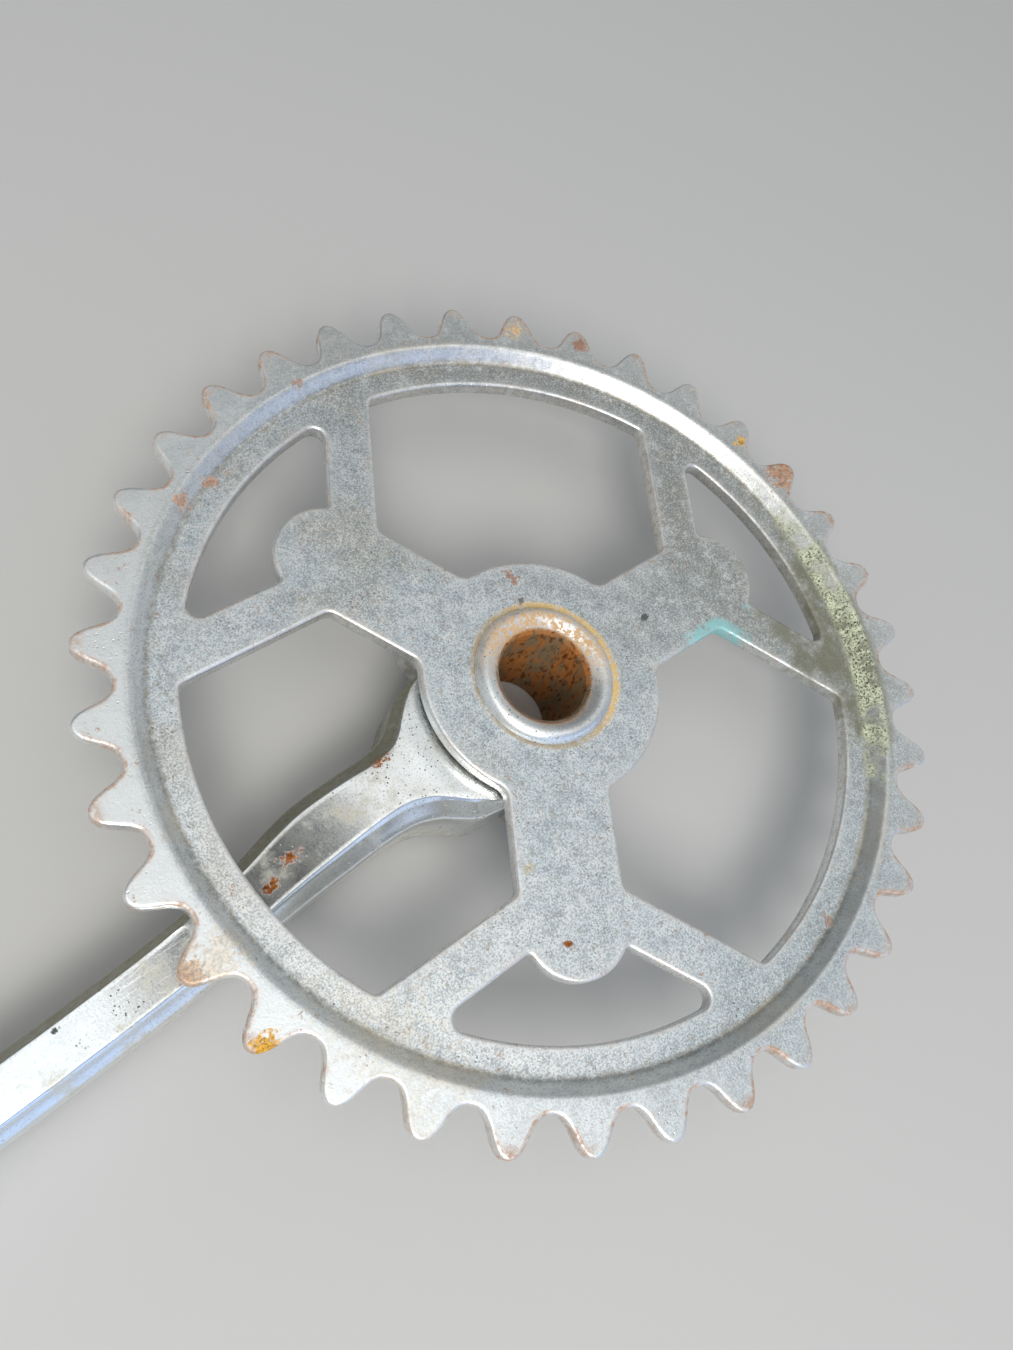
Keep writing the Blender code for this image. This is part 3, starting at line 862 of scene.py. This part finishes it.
# lays each stain over the colour, speckled with its own darker tone
def addStains(tree, place, stains, ragged, colour, stained):
    specks = ramp(tree, noise(tree, place, 0.5, 4, 0.7, 83), 0.42, 0.60)
    for centre, size, shade, strength in stains:
        mask = product(tree, patch(tree, place, centre, size, ragged), strength)
        speckled = blend(tree, specks, shade, [0.42 * part for part in shade[:3]] + [1])
        colour = blend(tree, mask, colour, speckled)
        stained = highest(tree, stained, mask)
    return colour, stained


rust = {
    "plain": (0.20, 0.070, 0.022, 1), "dark": (0.11, 0.035, 0.010, 1), "orange": (0.90, 0.47, 0.04, 1),
    "brown": (0.38, 0.125, 0.030, 1), "light": (0.58, 0.26, 0.11, 1),
}
plating = {
    # noises: width of a cloud in millimetres, detail, roughness, shift
    "noises": {
        "broad": (22, 3), "cloud": (4, 4, 0.6, 3), "fine": (1.2, 4, 0.7, 11), "grain": (0.30, 3, 0.6, 5),
        "ragged": (1.2, 6, 0.72, 17), "mottle": (2.2, 4, 0.65, 61), "pitDrift": (6, 4, 0.65, 23),
        "brownDrift": (7, 3, 0.6, 47), "freckle": (1.0, 4, 0.75, 31), "freckleDrift": (10, 3, 0.6, 37),
        "filmEdge": (5, 5, 0.65, 41), "growthDrift": (5, 5, 0.7, 71), "powder": (0.5, 4, 0.75, 67),
        "crust": (0.5, 4, 0.75, 73),
    },
    # clouds of grey with a blue cast; painted shade towards +X, a bluer grey on the lower rim, and painted
    # light on the rim towards -X
    "cool": (0.68, 0.755, 0.795, 1), "pale": (0.84, 0.885, 0.90, 1), "warm": (0.62, 0.575, 0.48, 1),
    "paintedShadeSide": (0.40, 0.375, 0.315, 1), "lowRim": (0.56, 0.63, 0.65, 1), "paintedLitRim": (0.97, 0.95, 0.90, 1),
    # mottle, grain and tan flecks: noise, from, to, strength, colour
    "layers": (
        ("mottle", 0.48, 0.66, 0.5, (0.40, 0.445, 0.48, 1)),
        ("mottle", 0.46, 0.32, 0.5, (0.96, 0.97, 0.95, 1)),
        ("grain", 0.48, 0.62, 0.55, (0.27, 0.295, 0.31, 1)),
        ("grain", 0.48, 0.38, 0.55, (1.0, 1.0, 0.98, 1)),
        ("fine", 0.54, 0.68, 0.55, (0.44, 0.37, 0.27, 1)),
    ),
    # scratches: angle, length, width, shift, how rare
    "scratches": ((24, 7, 0.11, 4, 0.69), (-52, 6, 0.11, 9, 0.70)),
    "scratch": (0.95, 0.95, 0.93, 1), "pit": (0.11, 0.09, 0.075, 1),
    # the slope and the edges
    "slopeFootDark": (0.30, 0.27, 0.21, 1), "warmSlope": (0.72, 0.62, 0.46, 1), "teeth": (0.95, 0.975, 0.97, 1),
    "polishedAndSheen": (0.93, 0.93, 0.91, 1), "brownEdge": (0.42, 0.20, 0.075, 1),
    "freckle": (0.38, 0.17, 0.06, 1),
    "grooveBrown": (0.36, 0.27, 0.15, 1), "grooveGold": (0.72, 0.46, 0.13, 1),
    # copper bloom, and the green growth on the far lower rim
    "bloom": (0.28, 0.60, 0.60, 1), "film": (0.19, 0.185, 0.125, 1), "powder": (0.74, 0.78, 0.56, 1),
    "crust": (0.045, 0.062, 0.035, 1),
    "bloomPlace": ((34.0, -12.8, 22), (10.5, 6.5, 5)), "filmPlace": ((57, -33, 24), (24, 42, 8)),
    # stains: centre, half widths (mm from the axle), colour, strength
    "stains": (
        ((-71.5, -17.5, 25), (2.2, 2.0, 3), rust["orange"], 0.95),
        ((43.0, 57.1, 25), (2.2, 2.0, 3), rust["orange"], 0.6),
        ((68.4, 13.7, 25), (1.5, 1.4, 3), rust["orange"], 0.95),
        ((-70.5, -4.5, 25), (6.2, 4.2, 3), (0.88, 0.68, 0.42, 1), 0.45),
        ((-73.6, -4.0, 25), (2.6, 3.0, 3), (0.66, 0.34, 0.14, 1), 0.5),
        ((-59.5, -30, 24), (9, 18, 3), (0.86, 0.72, 0.48, 1), 0.24),
        ((53.3, 48.1, 25), (2.2, 1.6, 3), rust["brown"], 0.8),
        ((71.8, 3.6, 25), (5.2, 4.8, 3), (0.56, 0.27, 0.13, 1), 0.85),
        ((-25.8, 58.5, 24), (1.7, 1.5, 4), rust["light"], 0.75),
        ((-32.1, 57.4, 24), (1.7, 1.5, 4), rust["light"], 0.8),
        ((-2.3, 66.7, 24), (1.6, 1.0, 4), rust["brown"], 0.7),
        ((-27.6, -35.5, 23), (1.0, 0.8, 2), rust["brown"], 1.0),
        ((12.2, -62.5, 23), (1.0, 1.4, 3), rust["brown"], 0.6),
        ((-24.7, -22.9, 23), (1.2, 1.0, 2), (0.62, 0.56, 0.36, 1), 0.7),
        ((23.9, -2.7, 23), (0.9, 0.7, 2), (0.04, 0.045, 0.05, 1), 0.85),
        ((5.9, 13.1, 23), (0.9, 0.9, 2), (0.09, 0.06, 0.04, 1), 0.8),
        ((7.4, 17.6, 23), (1.0, 2.0, 2), rust["brown"], 0.75),
    ),
}


def platingGround(tree, place, at):
    colour = blend(tree, ramp(tree, at["cloud"], 0.30, 0.70), plating["cool"], plating["pale"])
    colour = tint(tree, colour, plating["warm"], ramp(tree, at["broad"], 0.46, 0.64, 0, 0.6),
                  ramp(tree, at["y"], -30, 15, 0.1, 1.0))
    # painted shade: the web is made darker and browner towards +X, the side that gets less light
    across = calc(tree, "ADD", at["x"], calc(tree, "MULTIPLY", at["y"], 0.35))
    colour = tint(tree, colour, plating["paintedShadeSide"], ramp(tree, across, 4, 44), 0.8,
                  ramp(tree, at["mottle"], 0.32, 0.60, 0.5, 1.0))
    colour = tint(tree, colour, plating["lowRim"], ramp(tree, at["y"], -46, -62),
                  ramp(tree, at["x"], -48, -18), 0.7)
    # painted light: the rim is made paler towards -X, the lit side
    colour = tint(tree, colour, plating["paintedLitRim"], ramp(tree, at["x"], -22, -52),
                  ramp(tree, at["y"], 40, 5), ramp(tree, at["radius"], 64.5, 63), 0.45)
    colour = layered(tree, at, plating["layers"], colour)
    marks = highest(tree, *[scratches(tree, place, *mark) for mark in plating["scratches"]])
    colour = tint(tree, colour, plating["scratch"], marks, 0.7)
    # fine pits in drifts
    pit = product(tree, ramp(tree, cells(tree, place, 0.8), 0.12, 0.24, 1, 0),
                  ramp(tree, at["pitDrift"], 0.52, 0.62))
    return tint(tree, colour, plating["pit"], pit, 0.7), pit


# darker band at the foot of the slope; a painted highlight up the slope and painted light on the teeth
# towards -X; polish and a painted highlight on worn edges
def platingSlope(tree, at, colour):
    radius = at["radius"]
    # darker band at the foot of the slope
    colour = tint(tree, colour, plating["slopeFootDark"], ramp(tree, radius, 63.4, 64.1),
                  ramp(tree, radius, 65.2, 64.5), ramp(tree, at["ragged"], 0.36, 0.60, 0.1, 0.6))
    colour = tint(tree, colour, plating["warmSlope"], ramp(tree, radius, 63.6, 64.4),
                  ramp(tree, radius, 68.2, 66.8), ramp(tree, at["broad"], 0.50, 0.38, 0.0, 0.5))
    # painted highlight along the slope band; on worn edges it is both real polish and painted highlight
    slope = product(tree, ramp(tree, radius, 64.2, 65.4), ramp(tree, radius, 67.8, 66.6))
    slopeSheenAndPolish = highest(tree, product(tree, slope, 0.6), product(tree, at["worn"], 0.75))
    slopeSheenAndPolish = product(tree, slopeSheenAndPolish, ramp(tree, at["ragged"], 0.70, 0.40, 0.3, 1.0))
    # painted light: teeth are made paler towards -X, less so at the lowest ones
    colour = tint(tree, colour, plating["teeth"], ramp(tree, radius, 66.4, 68.0),
                  ramp(tree, at["x"], 10, -60, 0.3, 0.85), ramp(tree, at["y"], -60, -25, 0.4, 1.0))
    return blend(tree, slopeSheenAndPolish, colour, plating["polishedAndSheen"]), slopeSheenAndPolish


# brown edges and tips on some teeth, freckles, stains, and the groove round the rolled edge
def platingRust(tree, place, at, colour):
    x, radius, ragged = at["x"], at["radius"], at["ragged"]
    edges = highest(tree, ramp(tree, at["worn"], 0.3, 0.9), ramp(tree, radius, 72.3, 74.4))
    brown = product(tree, edges, ramp(tree, at["brownDrift"], 0.40, 0.56),
                    ramp(tree, ragged, 0.36, 0.60, 0.2, 1.0), ramp(tree, radius, 62, 68, 0.3, 1.0))
    colour = tint(tree, colour, plating["brownEdge"], brown, 0.75)
    freckle = product(tree, ramp(tree, at["freckle"], 0.59, 0.67),
                      ramp(tree, at["freckleDrift"], 0.48, 0.62))
    colour = tint(tree, colour, plating["freckle"], freckle, 0.75)
    stained = highest(tree, product(tree, freckle, 0.6), product(tree, brown, 0.6))
    colour, stained = addStains(tree, place, plating["stains"], ragged, colour, stained)
    outer = ramp(tree, x, -13, 13, 13.1, 13.9, False)      # the groove is widest on +X
    groove = product(tree, ramp(tree, calc(tree, "SUBTRACT", outer, radius), -0.5, 0.3),
                     ramp(tree, ragged, 0.34, 0.52, 0.15, 1.0))
    filling = blend(tree, ramp(tree, x, -4, 10), plating["grooveBrown"], plating["grooveGold"])
    colour = tint(tree, colour, filling, groove, 0.85)
    return colour, highest(tree, stained, groove), groove


# turquoise bloom along one opening's edge; film, powder and crust on the far lower rim
def platingGrowth(tree, place, at, colour, stained):
    radius = at["radius"]
    bloom = product(tree, patch(tree, place, *plating["bloomPlace"], at["ragged"], 0.6, 3.0),
                    ramp(tree, at["worn"], 0.01, 0.16))
    colour = tint(tree, colour, plating["bloom"], bloom, 0.85)
    film = product(tree, patch(tree, place, *plating["filmPlace"], at["filmEdge"], 0.8, 2.2),
                   ramp(tree, radius, 36, 54, 0.3, 1.0), ramp(tree, radius, 69.5, 67.0))
    colour = tint(tree, colour, plating["film"], film, 0.88)
    onSlope = product(tree, film, ramp(tree, radius, 62.6, 64.2), ramp(tree, radius, 68.0, 66.8))
    drift = ramp(tree, at["growthDrift"], 0.32, 0.48)
    powder = product(tree, onSlope, drift, ramp(tree, at["powder"], 0.38, 0.50))
    colour = tint(tree, colour, plating["powder"], powder, 0.9)
    crust = product(tree, onSlope, ramp(tree, drift, 0.1, 0.5), ramp(tree, at["crust"], 0.53, 0.59))
    colour = tint(tree, colour, plating["crust"], crust, 0.92)
    thin = product(tree, highest(tree, film, bloom), 0.6)
    return colour, highest(tree, stained, crust, powder, thin), crust


# worn dull plating of the pressed ring
def platedSteel():
    made, tree, shader, place = newFinish("wornPlating")
    at = fieldsOf(tree, place, plating["noises"])
    at["worn"] = attribute(tree, "edgeWear")
    colour, pit = platingGround(tree, place, at)
    colour, slopeSheenAndPolish = platingSlope(tree, at, colour)
    colour, stained, groove = platingRust(tree, place, at, colour)
    colour, stained, crust = platingGrowth(tree, place, at, colour, stained)
    roughness = ramp(tree, at["cloud"], 0.3, 0.7, 0.36, 0.46)
    roughness = calc(tree, "ADD", roughness, product(tree, stained, 0.35))
    roughness = calc(tree, "SUBTRACT", roughness, product(tree, slopeSheenAndPolish, 0.12))
    setShader(tree, shader, colour, ramp(tree, stained, 0, 0.85, 0.95, 0.0, False), roughness,
              ramp(tree, stained, 0, 0.8, 0.5, 0.08))
    height = calc(tree, "ADD", product(tree, at["fine"], 0.5), product(tree, at["grain"], 0.6))
    height = calc(tree, "SUBTRACT", height, product(tree, pit, 0.8))
    height = calc(tree, "ADD", height, product(tree, highest(tree, crust, groove), 0.8))
    bumpOn(tree, shader, height, 0.06, 0.8)
    return made


chrome = {
    "noises": {
        "cloud": (6, 4, 0.6, 3), "fine": (0.9, 4, 0.7, 11), "grain": (0.35, 2, 0.6, 7),
        "ragged": (1.0, 6, 0.75, 17), "pitDrift": (6, 4, 0.65, 23), "film": (9, 5, 0.65, 29),
    },
    # clean and clouded chrome, and middle: a painted dark reflection on the arm just inside the ring
    "clean": (0.93, 0.95, 0.95, 1), "clouded": (0.82, 0.82, 0.79, 1), "middle": (0.42, 0.42, 0.36, 1),
    # grain, and a painted blue reflection on the far end of the arm
    "layers": (
        ("grain", 0.50, 0.68, 0.4, (0.42, 0.42, 0.38, 1)),
        ("x", -72, -96, 0.6, (0.80, 0.88, 0.94, 1)),
    ),
    "scratch": (0.95, 0.94, 0.91, 1), "pit": (0.045, 0.035, 0.02, 1), "film": (0.50, 0.42, 0.22, 1),
    "scratches": ((4, 14, 0.09, 3, 0.69), (-9, 9, 0.07, 9, 0.71), (31, 6, 0.08, 15, 0.74),
                  (-58, 5, 0.08, 21, 0.75)),
    "paintedOliveShade": (0.19, 0.18, 0.12, 1), "crease": (0.27, 0.17, 0.08, 1), "funnel": (0.60, 0.36, 0.15, 1),
    "boreBrown": (0.25, 0.185, 0.105, 1), "boreOrange": (0.46, 0.18, 0.05, 1),
    "stains": (
        ((-30.9, 5.8, 18.9), (2.2, 1.3, 2), rust["brown"], 1.0),
        ((-51.8, 1.6, 17.9), (1.9, 1.0, 2), rust["brown"], 1.0),
        ((-56.3, -0.1, 17.9), (1.7, 0.9, 2), rust["brown"], 1.0),
        ((-20.9, 12.9, 18), (4.0, 2.4, 4), (0.20, 0.19, 0.10, 1), 0.5),
        ((-90.2, 2.1, 16.4), (0.6, 0.5, 2), (0.03, 0.03, 0.03, 1), 0.9),
    ),
}


def chromeGround(tree, place, at):
    colour = blend(tree, ramp(tree, at["cloud"], 0.35, 0.7), chrome["clean"], chrome["clouded"])
    # the layers include a painted blue reflection towards the pedal end
    colour = layered(tree, at, chrome["layers"], colour)
    # painted shade: a dark reflection painted on the arm about 56 mm out, where the ring darkens it
    reach = calc(tree, "ABSOLUTE", calc(tree, "ADD", at["x"], 56))
    colour = tint(tree, colour, chrome["middle"], ramp(tree, reach, 16, 4, 0, 0.35))
    marks = highest(tree, *[scratches(tree, place, *mark) for mark in chrome["scratches"]])
    marks = product(tree, marks, at["outside"], ramp(tree, at["radius"], 60, 72, 0.08, 1.0))
    return tint(tree, colour, chrome["scratch"], marks, 0.4), marks


# black pits in drifts, thickest by the hub, a yellow brown film round them, and the stains
def chromeStained(tree, place, at, colour):
    drift = calc(tree, "ADD", at["pitDrift"], ramp(tree, at["radius"], 50, 24, 0, 0.10))
    pit = product(tree, ramp(tree, cells(tree, place, 0.75), 0.13, 0.24, 1, 0),
                  ramp(tree, drift, 0.56, 0.64))
    film = product(tree, ramp(tree, at["film"], 0.50, 0.66, 0, 0.55), at["outside"],
                   ramp(tree, at["ragged"], 0.35, 0.60, 0.4, 1.0))
    colour = blend(tree, film, colour, chrome["film"])
    colour = tint(tree, colour, chrome["pit"], pit, 0.9)
    stained = highest(tree, product(tree, pit, 0.9), product(tree, film, 0.5))
    colour, stained = addStains(tree, place, chrome["stains"], at["ragged"], colour, stained)
    # the side facing +Y gets a painted dark olive reflection and is dulled, and the crease beside the face
    # holds dirt
    normal = addNode(tree, "ShaderNodeNewGeometry").outputs["Normal"]
    lean = addNode(tree, "ShaderNodeSeparateXYZ", {0: normal}).outputs[1]
    shadedSide = product(tree, ramp(tree, lean, 0.30, 0.60), at["outside"],
                   ramp(tree, at["fine"], 0.30, 0.60, 0.88, 1.0))
    # painted shade: dark olive laid on the faces that lean towards +Y
    colour = tint(tree, colour, chrome["paintedOliveShade"], shadedSide, 0.9)
    stained = highest(tree, stained, product(tree, shadedSide, 0.25))
    crease = product(tree, attribute(tree, "creaseLine"), ramp(tree, at["ragged"], 0.40, 0.56, 0.1, 0.85))
    return blend(tree, crease, colour, chrome["crease"]), stained, pit


# rust over the rolled edge and down its funnel, then the rusty bore
def chromeBore(tree, place, at, colour, stained):
    x, y, radius, ragged = at["x"], at["y"], at["radius"], at["ragged"]
    side = calc(tree, "ADD", x, calc(tree, "MULTIPLY", y, 1.3))
    funnel = product(tree, ramp(tree, radius, 13.0, 10.5, 0.25, 0.9), ramp(tree, radius, 14, 13.5),
                     ramp(tree, at["z"], 19, 20), ramp(tree, side, -6, 10), ramp(tree, ragged, 0.38, 0.54))
    colour = blend(tree, funnel, colour, chrome["funnel"])
    waver = calc(tree, "MULTIPLY", calc(tree, "SUBTRACT", ragged, 0.5), 1.5)
    bore = ramp(tree, calc(tree, "ADD", radius, waver), 8.75, 8.35)
    streaks = addNode(tree, "ShaderNodeVectorMath", {0: place, 1: (1, 1, 0.35)},
                      operation="MULTIPLY").outputs[0]
    rusty = calc(tree, "ADD", noise(tree, streaks, 3.2, 6, 0.75, 53),
                 ramp(tree, calc(tree, "ADD", x, y), -10, 10, -0.08, 0.07, False))
    wall = blend(tree, ramp(tree, rusty, 0.46, 0.62), chrome["boreBrown"], chrome["boreOrange"])
    dark = ramp(tree, noise(tree, streaks, 0.9, 5, 0.75, 59), 0.50, 0.62, 0, 0.9)
    wall = tint(tree, wall, rust["dark"], dark)
    return blend(tree, bore, colour, wall), highest(tree, stained, bore, funnel)


# bright plating of the forging, scratched, pitted and stained
def chromeSteel():
    made, tree, shader, place = newFinish("oldChrome")
    at = fieldsOf(tree, place, chrome["noises"])
    at["outside"] = ramp(tree, at["radius"], 14, 18)            # clear of the rolled edge
    colour, marks = chromeGround(tree, place, at)
    colour, stained, pit = chromeStained(tree, place, at, colour)
    colour, stained = chromeBore(tree, place, at, colour, stained)
    satin = product(tree, ramp(tree, at["radius"], 14, 13.2), ramp(tree, at["z"], 19, 20))
    roughness = ramp(tree, at["cloud"], 0.3, 0.7, 0.13, 0.17)
    for value, share in ((stained, 0.5), (marks, 0.12), (satin, 0.16)):
        roughness = calc(tree, "ADD", roughness, product(tree, value, share))
    setShader(tree, shader, colour, ramp(tree, stained, 0, 0.85, 1.0, 0.0, False), roughness,
              ramp(tree, stained, 0, 0.8, 0.5, 0.08))
    height = calc(tree, "ADD", product(tree, at["fine"], 0.30), product(tree, at["grain"], 0.2))
    cut = calc(tree, "ADD", product(tree, marks, 0.25), product(tree, pit, 0.8))
    height = calc(tree, "SUBTRACT", height, cut)
    bumpOn(tree, shader, height, 0.03, 0.55)
    return made


zinc = {
    "noises": {"cloud": (2.4, 5, 0.6, 3), "fine": (0.5, 4, 0.65, 11), "spot": (1.0, 5, 0.7, 19)},
    "clean": (0.52, 0.53, 0.53, 1), "clouded": (0.36, 0.34, 0.30, 1),
}


# dull zinc of the cotter and its nut
def zincSteel():
    made, tree, shader, place = newFinish("dullZinc")
    at = fieldsOf(tree, place, zinc["noises"])
    colour = blend(tree, ramp(tree, at["cloud"], 0.4, 0.66), zinc["clean"], zinc["clouded"])
    spot = ramp(tree, at["spot"], 0.60, 0.68)
    colour = tint(tree, colour, rust["plain"], spot, 0.8)
    setShader(tree, shader, colour, ramp(tree, spot, 0, 1, 0.9, 0.2, False),
              ramp(tree, at["cloud"], 0.3, 0.7, 0.32, 0.5))
    bumpOn(tree, shader, at["fine"], 0.03, 0.5)
    return made


viewpoint = {
    "place": (-43.96, -13.70, 173.78),         # millimetres
    "look": (0.47905, 0.10185, -0.87186),
    "up": (0.51937, 0.76784, 0.37507),
    "lens": 27.39,
}


def makeCamera():
    data = bpy.data.cameras.new("viewCamera")
    data.lens = viewpoint["lens"]
    data.sensor_width = 36
    data.sensor_fit = "AUTO"
    data.clip_start, data.clip_end = 0.005, 20
    camera = bpy.data.objects.new("viewCamera", data)
    bpy.context.collection.objects.link(camera)
    look = Vector(viewpoint["look"]).normalized()
    right = look.cross(Vector(viewpoint["up"])).normalized()
    up = right.cross(look)
    turn = Matrix((right, up, -look)).transposed().to_4x4()
    camera.matrix_world = Matrix.Translation(Vector(viewpoint["place"]) * mm) @ turn
    bpy.context.scene.camera = camera


lights = {
    # name: place, aim (mm), width, height (mm), power, colour
    "softKey": ((-330, -300, 560), (40, 0, 20), 300, 300, 2.8, (1.0, 0.985, 0.96)),
    "windowSide": ((90, -620, 170), (20, 0, 15), 700, 300, 0.30, (0.74, 0.84, 1.0)),
}


def makeLights():
    for name, (place, aim, width, height, power, colour) in lights.items():
        data = bpy.data.lights.new(name, "AREA")
        data.shape = "RECTANGLE"
        data.size, data.size_y = width * mm, height * mm
        data.energy, data.color = power, colour
        light = bpy.data.objects.new(name, data)
        bpy.context.collection.objects.link(light)
        toward = (Vector(aim) - Vector(place)) * mm
        light.matrix_world = (Matrix.Translation(Vector(place) * mm)
                              @ toward.to_track_quat("-Z", "Y").to_matrix().to_4x4())


sky = {
    "base": (0.50, 0.525, 0.54), "overhead": (0.72, 0.71, 0.69), "window": (0.34, 0.425, 0.61),
    "darkSide": 0.42, "cameraShade": 0.04,      # shares of the sky's strength
    # where each part lies, and the cosines at which it starts and is full
    "overheadPart": ((-0.12, -0.10, 1), 0.76, 0.99), "windowPart": ((0.1, -1, 0.1), 0.45, 0.92),
    "darkPart": ((0.25, 1, 0.15), 0.35, 0.90), "cameraPart": ((0.10, 0.083, 1), 0.9900, 0.9978),
}


def skyPart(tree, name, start=0.0, end=1.0):
    direction, low, high = sky[name]
    toward = addNode(tree, "ShaderNodeTexCoord").outputs["Generated"]
    facing = addNode(tree, "ShaderNodeVectorMath", {0: toward, 1: Vector(direction).normalized()},
                     operation="DOT_PRODUCT").outputs["Value"]
    return ramp(tree, facing, low, high, start, end)


# soft surroundings that the metal mirrors
def makeSky():
    world = bpy.data.worlds.new("softSky")
    world.use_nodes = True
    tree = world.node_tree
    tree.nodes.clear()
    colour = addNode(tree, "ShaderNodeMix", {0: skyPart(tree, "overheadPart"), 6: (*sky["base"], 1),
                                             7: (*sky["overhead"], 1)},
                     data_type="RGBA", blend_type="ADD").outputs[2]
    colour = blend(tree, skyPart(tree, "windowPart"), colour, (*sky["window"], 1))
    strength = product(tree, skyPart(tree, "darkPart", 1.0, sky["darkSide"]),
                       skyPart(tree, "cameraPart", 1.0, sky["cameraShade"]))
    back = addNode(tree, "ShaderNodeBackground", {"Color": colour, "Strength": strength})
    addNode(tree, "ShaderNodeOutputWorld", {"Surface": back.outputs[0]})
    bpy.context.scene.world = world


floorLook = {"colour": (0.56, 0.55, 0.53), "roughness": 0.75, "halfSide": 3, "drop": 0.0002}    # metres


def makeFloor():
    bm = bmesh.new()
    bmesh.ops.create_grid(bm, x_segments=1, y_segments=1, size=floorLook["halfSide"])
    bmesh.ops.translate(bm, verts=bm.verts, vec=(0, 0, -floorLook["drop"]))
    floor = meshObject("paleFloor", bm, recalc=False)
    made, tree, shader, _ = newFinish("paleFloor")
    setShader(tree, shader, (*floorLook["colour"], 1), 0.0, floorLook["roughness"])
    floor.data.materials.append(made)


def main():
    makeCamera()
    makeLights()
    makeSky()
    makeFloor()
    print("stage ready")
    makeChainring(platedSteel())
    makeCrankArm(chromeSteel())
    dullFinish = zincSteel()
    makeCotterPin(dullFinish)
    makeCotterWasher(dullFinish)
    makeCotterNut(dullFinish)
    bpy.context.scene.view_settings.view_transform = "Standard"


main()
